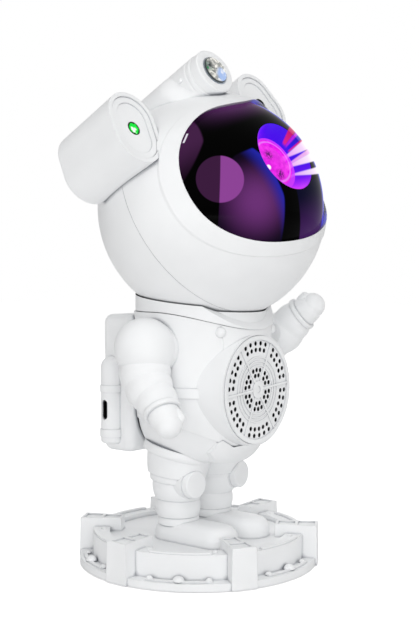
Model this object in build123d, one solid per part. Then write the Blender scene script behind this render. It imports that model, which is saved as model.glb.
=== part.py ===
from build123d import *
import os
from math import acos, cos, pi, radians, sin, sqrt, tan

# A table-top planetarium projector in the shape of a space-suited figure.
# Millimetres. +Z is up, the figure looks towards -Y and its left hand is on +X.
# The origin is the centre of the pad that the base stands on.

os.makedirs("parts", exist_ok=True)

# ---------------------------------------------------------------- clearances
SEAT = 0.1            # between pieces that seat on each other and don't move
RUNNING = 0.06        # radial clearance of a shaft or slide in its bore
MOVING = 0.3          # between faces that pass each other
SEAM = 0.3            # width of the groove where two mouldings meet
HELMET_SEAM = 0.2     # the finer groove around the helmet
SEAM_DEPTH = 0.15     # depth of that groove
WALL = 2.2            # wall of every main moulding

# ---------------------------------------------------------------- base
PAD_RADIUS = 46.0
PAD_PROUD = 0.4       # the pad stands this far below the base moulding
PAD_THICK = 1.2
COVER_THICK = 2.0
COVER_TOP = PAD_PROUD + COVER_THICK
COVER_RADIUS = 50.2
FLANGE_RADIUS = 53.8
FLANGE_TOP = 3.6
CURB_OUTER = 48.0     # low curved wall between the blocks
CURB_INNER = 40.5
CURB_TOP = 14.1
FLOOR_TOP = 12.0
STRIP_WIDTH = 2.0
STRIP_RISE = 0.9
STRIP_INSET = 0.4
STRIP_HALF_ANGLE = 16.0
STEP_RISE = 0.7
STEP_WIDTH = 1.6
BLOCK_COUNT = 6
BLOCK_HEIGHT = 18.0
BLOCK_INNER = 35.2
BLOCK_OUTER = 54.6
BLOCK_HALF_INNER = 3.9
BLOCK_HALF_OUTER = 5.8
BLOCK_DRAFT = 1.0
BLOCK_POCKET_DEPTH = 0.7
BLOCK_POCKET_MARGIN = 1.5
BASE_RIB_THICK = 1.6
BASE_SCREW_CIRCLE = 38.0
BASE_SCREW_COUNT = 4

# ---------------------------------------------------------------- screws
SCREW_RADIUS = 1.3
SCREW_HEAD_RADIUS = 2.6
SCREW_HEAD_THICK = 1.4
SUNK_HEAD_THICK = 0.7
BOSS_RADIUS = 3.2
THREAD_GAP = 0.05     # radial room of a screw in its boss
LEG_SCREW_DEPTH = 5.0 # how far it reaches into the boot

# ---------------------------------------------------------------- legs
LEG_X = 11.8          # ankle centre, left and right of the middle
LEG_Y = 2.0
THIGH_X = 13.4        # thigh centre
BOOT_HEIGHT = 8.4
BOOT_HEEL_RADIUS = 9.6
BOOT_TOE_RADIUS = 9.4
BOOT_TOE_Y = -20.0
BOOT_ROUND = 5.6
KNEE_RADIUS = 6.1
KNEE_Z = 37.9
KNEE_OUT = 2.6        # knee disc centre, outwards of the leg's own centre
KNEE_FRONT = 14.6     # knee disc face, in front of the leg's own centre
KNEE_THICK = 3.2
KNEE_TURN = 5.0       # the discs look slightly outwards
HEM_RADIUS = 14.9     # padded hem where the trunks meet the trousers
HEM_THICK = 3.8
HEM_BULGE = 0.6
HEM_TILT = 12.0       # it dips towards the front and the crotch
HEM_SIDE = 0.8        # sideways share of a fold's tilt
HEM_LIFT = 1.6        # the hem starts this far above the hips' lowest level
TROUSER_ROLLS = (     # low z, high z, low radius, high radius, bulge, tilt
    (18.6, 22.6, 9.2, 8.4, 0.6, 0),
    (22.2, 30.6, 9.3, 9.2, 0.8, 0),
    (30.0, 38.9, 10.0, 11.3, 0.8, 2),
    (37.8, 42.2, 11.9, 11.8, 0.5, 4),
    (40.6, 51.4, 13.1, 14.5, 0.3, 6),
)

# ---------------------------------------------------------------- torso
TORSO_Y = -2.8        # axis of the turned torso
SPLIT_Y = -1.0        # front and rear shells meet in this plane
HIP_Z = 47.5
HIP_RADIUS = 17.0
WAIST_Z = 76.0
WAIST_RADIUS = 29.9
CHEST_Z = 92.0
CHEST_RADIUS = 29.6
NECK_RADIUS = 30.7
BELT_LOW = 77.3
BELT_HIGH = 81.6
BELT_RISE = 0.7
TUNIC_RISE = 0.6      # the tunic stands proud of the trunks below it
TUNIC_EDGE_Z = 66.0
TUNIC_DIP = 44.0      # radius of the dip of its lower edge
BIB_RISE = 0.4        # raised panel between collar and speaker
BIB_HALF_TOP = 19.4
BIB_HALF_LOW = 16.6
BIB_LOW_Z = 96.0
BIB_BUTTON_RADIUS = 2.4
BIB_BUTTON_Z = 105.6
CROTCH_RISE = 1.3     # plate between the legs, over the trunks
CROTCH_OUTLINE = (    # its right half, seen from the front
    (0.0, 56.5), (6.2, 55.8), (10.3, 55.4), (15.9, 58.9), (17.2, 57.8), (18.2, 53.3), (13.0, 48.0), (0.0, 47.0),
)

# ---------------------------------------------------------------- head seat
HEAD_CENTRE = Vector(0, -7.89, 159.69)
HEAD_YAW = -5.3       # degrees, the head's pose as it is set
HEAD_PITCH = 25.3
HEAD_LEAN = 14.2
HELMET_RADIUS = 50.9
HELMET_WALL = 2.0

# ---------------------------------------------------------------- collar
COLLAR_RADIUS = 31.0
COLLAR_Y = -3.4
COLLAR_SEAM_Z = 114.0
COLLAR_DIP = 80.0     # radius of the dip of its lower edge
COLLAR_TOP_Z = 121.5
SCOOP_Y = -33.0       # the slanted front lip starts here
SCOOP_Z = 107.6
SCOOP_SLOPE = 40.4
SEAT_GAP = 0.6        # between helmet and collar
COLLAR_SKIRT = 3.0    # spigot of the collar inside the torso
WELL_RADIUS = 13.5    # well of the magnet carrier
WELL_FLOOR_Z = 104.4
WELL_WALL = 1.6
CUP_GAP = 0.15        # between helmet and magnet carrier
CARRIER_LIFT = 0.05   # running gap under the carrier
MAGNET_OUTER = 11.5
MAGNET_INNER = 5.6
MAGNET_THICK = 3.0
LEAD_HOLE_RADIUS = 3.4
LEAD_HOLE_Y = 20.0    # the lead passes from torso to backpack here
KEEPER_RADIUS = 15.0
KEEPER_THICK = 0.9

# ---------------------------------------------------------------- arms
SHOULDER = Vector(-37.2, SPLIT_Y, 98.6)
SHOULDER_BALL = 13.2
ARM_FACE_X = -31.6    # flat inner face of the arm
PEG_RADIUS = 5.0
PEG_FLANGE_RADIUS = 7.0
PEG_FLANGE_THICK = 1.4
ARM_RAISED = 85.5     # the left arm is the mirrored right one, swung forward
SLEEVE_LINE = (       # centre line of the sleeve, from the shoulder to the cuff
    (0.0, 0.0, 0.0), (-1.5, -1.4, -9.6), (-3.5, -7.2, -18.6), (-5.5, -14.6, -25.0),
)
SLEEVE_RADIUS = 11.2  # at the shoulder
SLEEVE_TAPER = 3.6    # how much thinner it is at the cuff
FOLD_COUNT = 4
FOLD_STEPS = 5        # cross sections of one fold
FOLD_RISE = 0.6       # a fold's middle above its creases
CREASE = 0.3          # depth of a crease below the plain sleeve
CUFF_RADIUS = 8.1
CUFF_WIDTH = 2.0
CUFF_BACK = 0.6       # overlap of cuff and sleeve
HAND_RADIUS = 6.8
HAND_LENGTH = 13.0
HAND_END = Vector(-7.0, -19.4, -30.2)
GLOVE_TAPER = 0.86    # the end of a hand or thumb, against its full radius
THUMB_RADIUS = 2.6
THUMB_LENGTH = 6.8
THUMB_ROOT = Vector(-4.5, -19.6, -24.7)
THUMB_END = Vector(-4.0, -23.2, -27.5)

# ---------------------------------------------------------------- speaker
SPEAKER_Z = 80.0
SPEAKER_FACE_Y = -33.4
SPEAKER_RADIUS = 23.6
SPEAKER_DEPTH = 7.6   # from the face to the driver's ledge
SPEAKER_FLARE = 1.0   # the drum widens towards its back
SPEAKER_ROOT = 16.0   # how far back the drum's wall reaches
GRILLE_SEAT = 1.6     # rebate of the grille in the drum
GRILLE_THICK = 1.5
RIM_WIDTH = 1.9
RIM_RISE = 0.8
HOLE_RADIUS = 1.0
HOLE_RINGS = (        # radius, holes in a sector, degrees from the spoke to the first
    (20.2, 5, 9.0), (17.4, 5, 10.0), (8.6, 3, 13.0), (6.2, 2, 19.0),
)
RAISED_RINGS = (10.6, 12.4, 14.2)
RAISED_RING_WIDTH = 0.7
HUB_RADIUS = 3.8      # raised disc in the middle of the grille
SECTORS = 6
RIB_WIDTH = 1.0
RIB_RISE = 0.45
DRIVER_RADIUS = 19.6
DRIVER_MAGNET_RADIUS = 12.0
DRIVER_MAGNET_THICK = 6.0
BASKET_DEPTH = 6.0
BASKET_THICK = 1.0
POLE_RADIUS = 4.6
CONE_RADIUS = 15.0
GRILLE_TURN = 4.0     # the spokes stand slightly turned
CLOTH_RADIUS = 22.3   # black dust cloth behind the grille
CLOTH_THICK = 0.4
GLUE = 0.02

# ---------------------------------------------------------------- backpack
PACK_HALF = 25.0
PACK_FRONT_Y = 19.0
PACK_REAR_Y = 37.0
PACK_LOW = 49.5
PACK_HIGH = 112.0
PACK_ROUND = 4.0
TANK_RADIUS = 5.1
TANK_Y = 30.4
TANK_LOW = 53.4
TANK_HIGH = 93.1
TANK_BAND_RISE = 0.4
TANK_BANDS = ((56.4, 60.0), (76.8, 80.0))
USB_Z = 68.9
USB_TALL = 9.0
USB_WIDE = 3.3
USB_DEPTH = 7.0
USB_WALL = 0.35
PACK_PLATE = 1.9      # rear cover of the backpack
PACK_LEDGE = 1.2      # ledge that the cover lies on
BUTTON_RADIUS = 3.4
BUTTON_PROUD = 1.3
BUTTON_TRAVEL = 0.8
BUTTON_PITCH = 11.0
BUTTON_FIRST_Z = 100.0
BUTTON_NAMES = ("power_button", "nebula_button", "laser_button", "sound_button")
BUTTON_FLANGE = 1.0
BOARD_THICK = 1.4
BOARD_Y = 12.0        # main board, in the torso
BOARD_HALF = 16.0
BOARD_LOW = 60.0
BOARD_HIGH = 96.0

# ---------------------------------------------------------------- visor
VISOR_RADIUS = 49.7   # outer surface of the visor
VISOR_THICK = 1.6
VISOR_HALF_WIDTH = 43.8
VISOR_HALF_HEIGHT = 32.0
VISOR_OUTLINE = (     # right half of the opening, from the brow to the chin
    (0.0, 29.6), (9.0, 30.3), (18.0, 30.9), (27.0, 28.4), (35.1, 22.7), (41.2, 13.6), (43.8, 1.5),
    (42.2, -9.8), (36.2, -20.2), (26.0, -28.2), (13.4, -32.7), (0.0, -34.2),
)
BAND_WIDTH = 4.0      # raised band around the opening
BAND_RISE = 0.45
LIP_WIDTH = 2.0       # ledge that carries the visor's edge
LIP_BACK = 1.6
WINDOW_RADIUS = 15.7  # round window in the visor

# ---------------------------------------------------------------- projector
# The optical axis is the line of sight; these lie along it, from the head's centre.
TUNNEL_FRONT = 47.0
TUNNEL_WALL = 1.0
TUNNEL_END_RADIUS = 12.6
LENS_RADIUS = 12.4
LENS_SEAT = 39.0
LENS_EDGE = 1.6
LENS_DOME = 2.6
FRONT_PLATE = 30.0
PLATE_THICK = 1.6
FRONT_PLATE_RADIUS = 33.0
REAR_PLATE = 9.6
REAR_PLATE_RADIUS = 34.0
BEAM_RADIUS = 9.0
CONDENSER_RADIUS = 8.6
CONDENSER_THICK = 5.0
SINK_SIDE = 26.0
SINK_DEPTH = 9.0
LED_BOARD_RADIUS = 13.0
POST_RADIUS = 2.4
POST_CIRCLE = 29.0
POST_ANGLES = (35.0, 145.0, 215.0)
PILLAR_RADIUS = 2.0
PILLAR_CIRCLE = 30.0
PILLAR_ANGLES = (100.0, 180.0, 200.0)

# ---------------------------------------------------------------- wheel drive
TOOTH_MODULE = 0.8
WHEEL_TEETH = 52
PINION_TEETH = 13
PRESSURE_ANGLE = 20.0
ADDENDUM = 0.85       # in modules, cut short for clearance
DEDENDUM = 1.25
BACKLASH = 0.16
WHEEL_X = 12.0        # wheel axle, beside the optical axis
WHEEL_BACK = 22.0
WHEEL_THICK = 3.0
WHEEL_RIM = 1.4       # rim inside the teeth's roots
WHEEL_WEB = 0.9       # ledge and spokes that carry the glass
GLASS_THICK = 1.8
WHEEL_HUB_RADIUS = 4.0
AXLE_RADIUS = 1.5
DRIVE_ANGLE = 250.0   # direction from wheel axle to motor shaft
MOTOR_RADIUS = 7.5
MOTOR_LENGTH = 15.0
MOTOR_SHAFT_RADIUS = 1.0

# ---------------------------------------------------------------- laser pods
POD_X = 45.5
POD_Y = 36.2
POD_LONG = 8.4        # straight part of the oval section
POD_WIDTH = 24.0
POD_TURN = 14.7       # the ovals lean towards each other at the top
POD_BACK = -17.0
POD_FRONT = 20.4
POD_ROUND = 1.6
POD_WALL = 1.8
POD_LEDGE = 1.3
POD_PLATE = 1.6
POD_PLATE_SUNK = 0.6
POD_OVAL_MARGIN = 2.6
POD_OVAL_SUNK = 0.5
APERTURE_RADIUS = 3.1
LASER_RADIUS = 4.6
LASER_LENGTH = 15.0

# ---------------------------------------------------------------- head lamp
LAMP_Y = 48.0
LAMP_RADIUS = 10.6
LAMP_BACK = -9.0
LAMP_SHOULDER = 29.4
LAMP_FRONT = 36.6
LAMP_RIM_RADIUS = 10.2
LAMP_HOLE_RADIUS = 6.4
LAMP_BORE_RADIUS = 8.6
LAMP_BORE_BACK = 14.0
LAMP_SPIGOT = 4.0
LAMP_LEAD_RADIUS = 2.0
LAMP_LEAD_BACK = 4.0  # the lead's hole, behind the parting plane
SADDLE_RADIUS = 15.0
SADDLE_Y = 39.0
SADDLE_BACK = -12.0
SADDLE_FRONT = 17.0
CRYSTAL_BACK = 30.6
CRYSTAL_THICK = 3.6
CRYSTAL_GIRDLE = 0.8  # plain round foot below the facets
CRYSTAL_SIDES = 8
CRYSTAL_SLOPE = 38


# ---------------------------------------------------------------- shared shapes
def disc(radius, low, high):
    """Upright cylinder between two heights."""
    return Pos(0, 0, low) * extrude(Circle(radius), high - low)


def ring(outer, inner, low, high):
    """Upright tube between two heights."""
    return Pos(0, 0, low) * extrude(Circle(outer) - Circle(inner), high - low)


def block(size_x, size_y, low, high):
    """Upright box, centred in plan, between two heights."""
    return Pos(0, 0, (low + high) / 2) * Box(size_x, size_y, high - low)


def turned(outline):
    """Solid of revolution about Z from (radius, height) corners."""
    face = make_face(Polyline(*outline, close=True))
    return revolve(Plane.XZ * face, Axis.Z)


def barrel(low_radius, high_radius, height, bulge):
    """Soft roll of the suit: a round drum with a bowed side."""
    middle = (low_radius + high_radius) / 2 + bulge
    side = ThreePointArc((low_radius, 0), (middle, height / 2), (high_radius, height))
    ends = Polyline((high_radius, height), (0, height), (0, 0), (low_radius, 0))
    return revolve(Plane.XZ * make_face(side + ends), Axis.Z)


def halfspace_front(y):
    """Everything in front of a vertical plane."""
    reach = 300
    return Pos(0, y - reach / 2, 100) * Box(reach, reach, reach)


def screw(length):
    """Pan-head screw: head below z = 0, shank upwards."""
    head = disc(SCREW_HEAD_RADIUS, -SCREW_HEAD_THICK, 0)
    return head + disc(SCREW_RADIUS, 0, length)


# ---------------------------------------------------------------- base
def base_blocks():
    """The six upright blocks, first one 30 degrees from the front."""
    outline = Polygon(
        (BLOCK_INNER, -BLOCK_HALF_INNER), (BLOCK_OUTER, -BLOCK_HALF_OUTER),
        (BLOCK_OUTER, BLOCK_HALF_OUTER), (BLOCK_INNER, BLOCK_HALF_INNER), align=None,
    )
    body = Pos(0, 0, PAD_PROUD) * extrude(outline, BLOCK_HEIGHT - PAD_PROUD, taper=BLOCK_DRAFT)
    length = BLOCK_OUTER - BLOCK_INNER
    pocket_long = (length - 3 * BLOCK_POCKET_MARGIN) / 2
    for index in range(2):
        centre = BLOCK_INNER + BLOCK_POCKET_MARGIN + pocket_long / 2
        centre += index * (pocket_long + BLOCK_POCKET_MARGIN)
        share = (centre - BLOCK_INNER) / length
        half = BLOCK_HALF_INNER + share * (BLOCK_HALF_OUTER - BLOCK_HALF_INNER) - BLOCK_POCKET_MARGIN
        pocket = block(pocket_long, 2 * half, BLOCK_HEIGHT - BLOCK_POCKET_DEPTH, BLOCK_HEIGHT + 1)
        body -= Pos(centre, 0, 0) * pocket
    step = 360 / BLOCK_COUNT
    return [Rot(0, 0, -90 + step * (index + 0.5)) * body for index in range(BLOCK_COUNT)]


def wedge(half_angle):
    """Pie slice around +X, for cutting arcs out of rings."""
    reach = 2 * FLANGE_RADIUS
    side = reach * tan(radians(half_angle))
    return extrude(Polygon((0, 0), (reach, -side), (reach, side), align=None), BLOCK_HEIGHT * 2)


def base_strips():
    """Raised arcs on the curb and on the flange, one of each between two blocks."""
    top_outer = CURB_OUTER - STRIP_INSET
    top = ring(top_outer, top_outer - STRIP_WIDTH, CURB_TOP - 1, CURB_TOP + STRIP_RISE)
    step_inner = FLANGE_RADIUS - STEP_WIDTH * 2
    low = ring(step_inner + STEP_WIDTH, step_inner, FLANGE_TOP - 1, FLANGE_TOP + STEP_RISE)
    arcs = (top + low) & wedge(STRIP_HALF_ANGLE)
    step = 360 / BLOCK_COUNT
    return [Rot(0, 0, -90 + step * index) * arcs for index in range(BLOCK_COUNT)]


def base_screw_places():
    """Where the base cover's screws go, between the blocks."""
    step = 360 / BASE_SCREW_COUNT
    return [
        Rot(0, 0, step * index) * Pos(BASE_SCREW_CIRCLE, 0, 0) for index in range(BASE_SCREW_COUNT)
    ]


def leg_screw_rows():
    """Y of the screw under the ankle and of the one under the toe."""
    return LEG_Y + 1, BOOT_TOE_Y + 2


def leg_screw_places():
    """Two screws hold each boot down."""
    return [Pos(side * LEG_X, y, 0) for side in (-1, 1) for y in leg_screw_rows()]


def make_base_ring():
    """One moulding: floor, curb, flange, blocks and strips, open underneath."""
    recess = COVER_RADIUS + SEAT
    cavity = CURB_OUTER - WALL
    body = turned([
        (0, FLOOR_TOP), (CURB_INNER, FLOOR_TOP), (CURB_INNER, CURB_TOP), (CURB_OUTER, CURB_TOP),
        (CURB_OUTER, FLANGE_TOP), (FLANGE_RADIUS, FLANGE_TOP), (FLANGE_RADIUS + 0.2, PAD_PROUD),
        (cavity, PAD_PROUD), (cavity, FLOOR_TOP - WALL), (0, FLOOR_TOP - WALL),
    ])
    for piece in base_blocks() + base_strips():
        body += piece
    for index in range(BLOCK_COUNT):
        rib = block(cavity - 8, BASE_RIB_THICK, COVER_TOP, FLOOR_TOP - 1)
        body += Rot(0, 0, index * 360 / BLOCK_COUNT) * Pos((cavity - 8) / 2 + 6, 0, 0) * rib
    for place in base_screw_places():
        body += place * disc(BOSS_RADIUS, COVER_TOP, FLOOR_TOP - 1)
    body -= disc(recess, -1, COVER_TOP)
    for place in base_screw_places():
        body -= place * disc(SCREW_RADIUS + THREAD_GAP, COVER_TOP - 1, FLOOR_TOP - WALL)
    head_room = SCREW_HEAD_RADIUS + MOVING
    for place in leg_screw_places():
        body -= place * disc(SCREW_RADIUS + SEAT, 0, FLOOR_TOP + 1)
        body -= place * disc(head_room, 0, FLOOR_TOP - WALL)
    return body


def make_base_cover():
    """Flat plate that closes the base, with countersinks for its screws."""
    plate = disc(COVER_RADIUS, PAD_PROUD, COVER_TOP)
    plate -= disc(PAD_RADIUS + SEAT, 0, PAD_THICK)
    for place in base_screw_places():
        plate -= place * disc(SCREW_RADIUS + SEAT, PAD_THICK - 1, COVER_TOP + 1)
        plate -= place * disc(SCREW_HEAD_RADIUS + SEAT, PAD_THICK - 1, PAD_THICK + SUNK_HEAD_THICK)
    return plate


def make_base_pad():
    """Soft non-slip disc in the cover's recess, over the screw heads."""
    return disc(PAD_RADIUS, 0, PAD_THICK)


def make_base_screws():
    """Cover screws with flat sunk heads, hidden by the pad."""
    tip = FLOOR_TOP - WALL - MOVING
    body = disc(SCREW_RADIUS, PAD_THICK, tip) + disc(SCREW_HEAD_RADIUS, PAD_THICK, PAD_THICK + SUNK_HEAD_THICK)
    return [place * body for place in base_screw_places()]


def make_leg_screws():
    """Screws up through the floor into the boots."""
    under = Pos(0, 0, FLOOR_TOP - WALL)
    return [place * under * screw(WALL + LEG_SCREW_DEPTH) for place in leg_screw_places()]


# ---------------------------------------------------------------- legs
def make_boot():
    """Right boot: a rounded sole outline with a soft top edge."""
    heel = Pos(0, LEG_Y + 1) * Circle(BOOT_HEEL_RADIUS)
    toe = Pos(0, BOOT_TOE_Y) * Circle(BOOT_TOE_RADIUS)
    boot = Pos(0, 0, FLOOR_TOP) * extrude(make_hull((heel + toe).edges()), BOOT_HEIGHT)
    return fillet(boot.edges().group_by(Axis.Z)[-1], BOOT_ROUND)


def make_knee():
    """Flat round knee disc on its fairing."""
    back = -4.0
    fairing = Pos(0, 0, back) * extrude(Circle(KNEE_RADIUS - 0.2), KNEE_FRONT - KNEE_THICK - back, taper=-3)
    pad = chamfer(disc(KNEE_RADIUS, KNEE_FRONT - KNEE_THICK, KNEE_FRONT).edges().group_by(Axis.Z)[-1], 0.4)
    face = Plane(origin=(-KNEE_OUT, 0, KNEE_Z), x_dir=(1, 0, 0), z_dir=(0, -1, 0))
    return face.location * Rot(0, -KNEE_TURN, 0) * (fairing + pad)


def make_right_leg():
    """Boot, trouser rolls and knee disc, moulded in one."""
    leg = Pos(-LEG_X, 0, 0) * make_boot()
    cuff_z = TROUSER_ROLLS[0][0]
    for low, high, low_radius, high_radius, bulge, tilt in TROUSER_ROLLS:
        share = (low - cuff_z) / (HIP_Z - cuff_z)
        centre = -(LEG_X + share * (THIGH_X - LEG_X))
        roll = barrel(low_radius, high_radius, high - low, bulge)
        leg += Pos(centre, LEG_Y, low) * Rot(tilt, tilt * HEM_SIDE, 0) * roll
    hem = barrel(HEM_RADIUS, HEM_RADIUS, HEM_THICK, HEM_BULGE)
    leg += Pos(-THIGH_X, LEG_Y, HIP_Z + HEM_LIFT) * Rot(HEM_TILT, HEM_TILT * HEM_SIDE, 0) * hem
    leg += Pos(-(LEG_X + THIGH_X) / 2, LEG_Y, 0) * make_knee()
    leg -= torso_form(0)
    leg -= front_column(CROTCH_OUTLINE) & torso_form(CROTCH_RISE + SEAT)
    leg -= Pos(THIGH_X, 0, 0) * block(2 * THIGH_X, 100, 0, 100)
    bore = disc(SCREW_RADIUS + THREAD_GAP, FLOOR_TOP - 1, FLOOR_TOP + LEG_SCREW_DEPTH + 1)
    for y in leg_screw_rows():
        leg -= Pos(-LEG_X, y, 0) * bore
    return leg


# ---------------------------------------------------------------- torso
def torso_form(grow):
    """Closed outer form of the torso, turned about its own axis."""
    hip = Spline(
        (HIP_RADIUS + grow, HIP_Z - grow), (WAIST_RADIUS - 3.6 + grow, 56.0),
        (WAIST_RADIUS + grow, WAIST_Z), tangents=[(1, 0.35), (0, 1)],
    )
    chest = Spline(
        (WAIST_RADIUS + grow, WAIST_Z), (CHEST_RADIUS + grow, CHEST_Z),
        (NECK_RADIUS + grow, COLLAR_SEAM_Z), tangents=[(0, 1), (0.1, 1)],
    )
    core = Polyline(
        (NECK_RADIUS + grow, COLLAR_SEAM_Z), (0, COLLAR_SEAM_Z), (0, HIP_Z - grow),
        (HIP_RADIUS + grow, HIP_Z - grow),
    )
    form = revolve(Plane.XZ * make_face(hip + chest + core), Axis.Z)
    return Pos(0, TORSO_Y, 0) * form


def above_dip(level, dip):
    """Everything above a surface that is level behind and curves down in front."""
    reach = 90.0
    front = 38.0
    low = level - dip + sqrt(dip ** 2 - front ** 2)
    middle = level - dip + sqrt(dip ** 2 - (front / 2) ** 2)
    curve = ThreePointArc((0, level), (-front / 2, middle), (-front, low))
    rest = Polyline(
        (-front, low), (-reach, low), (-reach, level + reach), (reach, level + reach),
        (reach, level), (0, level),
    )
    profile = Plane.YZ * make_face(curve + rest)
    return Pos(-reach, 0, 0) * extrude(profile, 2 * reach)


def torso_dress():
    """Tunic and belt: what stands proud of the torso's plain form."""
    tunic = torso_form(TUNIC_RISE) & above_dip(TUNIC_EDGE_Z, TUNIC_DIP)
    belt = ring(WAIST_RADIUS + TUNIC_RISE + BELT_RISE, WAIST_RADIUS - 5, BELT_LOW, BELT_HIGH)
    return tunic + Pos(0, TORSO_Y, 0) * belt


def front_column(half_outline):
    """Upright shape seen from the front, mirrored left to right, as a column ahead of the split plane."""
    mirrored = [(-x, z) for x, z in reversed(half_outline) if x]
    face = Plane.XZ * make_face(Polyline(*half_outline, *mirrored, close=True))
    return Pos(0, SPLIT_Y, 0) * extrude(face, 60)


def chest_dress():
    """Raised bib between collar and speaker with a dome button at each side, and the crotch plate."""
    bib = front_column((
        (0, BIB_LOW_Z), (BIB_HALF_LOW, BIB_LOW_Z), (BIB_HALF_TOP, COLLAR_SEAM_Z + 1), (0, COLLAR_SEAM_Z + 1),
    ))
    parts = [bib & (torso_form(TUNIC_RISE + BIB_RISE) - torso_form(-1))]
    parts.append(front_column(CROTCH_OUTLINE) & (torso_form(CROTCH_RISE) - torso_form(-1)))
    share = (BIB_BUTTON_Z - BIB_LOW_Z) / (COLLAR_SEAM_Z - BIB_LOW_Z)
    button_x = BIB_HALF_LOW + share * (BIB_HALF_TOP - BIB_HALF_LOW)
    button_y = TORSO_Y - sqrt((NECK_RADIUS - 0.4) ** 2 - button_x ** 2)
    for side in (-1, 1):
        parts.append(Pos(side * button_x, button_y, BIB_BUTTON_Z) * Sphere(BIB_BUTTON_RADIUS))
    return parts


def shoulder_sockets():
    """Flat round bosses that the arms turn against, with the peg's bore."""
    face = -ARM_FACE_X - MOVING
    boss = Rot(0, 90, 0) * disc(SHOULDER_BALL - 1.6, face - 9, face)
    bore = Rot(0, 90, 0) * disc(PEG_RADIUS + RUNNING, face - 20, face + 5)
    centre = Pos(0, SHOULDER.Y, SHOULDER.Z)
    right = Rot(0, 0, 180)
    return [centre * boss, centre * right * boss], [centre * bore, centre * right * bore]


def speaker_place():
    """Local +Z leaves the chest, origin on the speaker's face plane."""
    return Plane(origin=(0, SPEAKER_FACE_Y, SPEAKER_Z), x_dir=(1, 0, 0), z_dir=(0, -1, 0)).location


def speaker_drum():
    """Round drum that stands out of the chest and carries the grille."""
    wide = SPEAKER_RADIUS + RIM_WIDTH / 2
    drum = turned([(0, 0), (wide, 0), (wide + SPEAKER_FLARE, -SPEAKER_ROOT), (0, -SPEAKER_ROOT)])
    return speaker_place() * drum


def speaker_ledge():
    """Inner tube and wall behind the grille, with the driver's opening and seat."""
    tube = disc(SPEAKER_RADIUS + RIM_WIDTH / 2, driver_back(), -GRILLE_SEAT)
    tube -= disc(DRIVER_RADIUS - 2.2, driver_back() - 1, 0)
    return speaker_place() * tube


def torso_shell():
    """Front and rear shells together, before they are parted."""
    outer = torso_form(0) + torso_dress() + speaker_drum()
    for piece in chest_dress():
        outer += piece
    bosses, bores = shoulder_sockets()
    for boss in bosses:
        outer += boss
    cavity_top = COLLAR_SEAM_Z + 5
    cavity = torso_form(-WALL)
    inner_wall = -ARM_FACE_X - MOVING - 2 * WALL
    cavity &= block(2 * inner_wall, 100, 0, cavity_top)
    spigot = Pos(0, TORSO_Y, 0) * disc(NECK_RADIUS - WALL, HIP_Z, cavity_top)
    cavity += spigot & above_dip(COLLAR_SEAM_Z - COLLAR_SKIRT - SEAT, COLLAR_DIP)
    outer -= cavity
    for bore in bores:
        outer -= bore
    outer -= above_dip(COLLAR_SEAM_Z - SEAM, COLLAR_DIP)
    outer += speaker_ledge()
    outer -= speaker_place() * disc(SPEAKER_RADIUS - RIM_WIDTH / 2, -SPEAKER_DEPTH, 10)
    outer -= speaker_place() * disc(SPEAKER_RADIUS + SEAT, -GRILLE_SEAT, 10)
    outer -= speaker_place() * disc(DRIVER_RADIUS + MOVING, driver_back() - 8, driver_back())
    flange = PEG_FLANGE_RADIUS + MOVING
    for turn in (0, 180):
        pocket = Rot(0, 0, turn) * Rot(0, 90, 0) * disc(flange, inner_wall - 8, inner_wall)
        outer -= Pos(0, SHOULDER.Y, SHOULDER.Z) * pocket
    return outer


def make_torso_front():
    """Chest, belt and speaker seat."""
    return torso_shell() & halfspace_front(SPLIT_Y)


def make_torso_rear():
    """Back shell with the bosses of the main board and the lead hole."""
    shell = torso_shell() - halfspace_front(SPLIT_Y)
    for x, z in board_posts():
        boss = Plane(origin=(x, BOARD_Y + BOARD_THICK, z), x_dir=(1, 0, 0), z_dir=(0, 1, 0)).location
        shell += (boss * disc(BOSS_RADIUS, 0, 20)) & torso_form(-0.5)
    shell -= lead_place() * disc(LEAD_HOLE_RADIUS, 0, 20)
    return shell


def lead_place():
    """Local +Z follows the button board's lead from the torso into the backpack."""
    height = BUTTON_FIRST_Z - BUTTON_PITCH
    return Plane(origin=(0, LEAD_HOLE_Y, height), x_dir=(1, 0, 0), z_dir=(0, 1, 0)).location


def board_posts():
    """Corner posts of the main board."""
    inset = 3.6
    return [
        (x, z) for x in (-BOARD_HALF + inset, BOARD_HALF - inset)
        for z in (BOARD_LOW + inset, BOARD_HIGH - inset)
    ]


def make_main_board():
    """Circuit board with its largest chips, on the rear shell's bosses."""
    board = Pos(0, BOARD_Y + BOARD_THICK / 2, (BOARD_LOW + BOARD_HIGH) / 2)
    plate = board * Box(2 * BOARD_HALF, BOARD_THICK, BOARD_HIGH - BOARD_LOW)
    for x, z, side in ((-5, 84, 9), (7, 72, 7)):
        plate += Pos(x, BOARD_Y - 0.6, z) * Box(side, 1.2, side)
    return plate


# ---------------------------------------------------------------- collar and neck
def seat_sphere(gap):
    """Ball around the head's centre, larger than the helmet by a gap."""
    return Pos(*HEAD_CENTRE) * Sphere(HELMET_RADIUS + gap)


def scoop():
    """Slanted cut that lowers the collar's front lip."""
    reach = 120.0
    place = Pos(0, SCOOP_Y, SCOOP_Z) * Rot(SCOOP_SLOPE, 0, 0)
    return place * Pos(0, 0, reach / 2) * Box(reach, reach * 2, reach)


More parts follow.
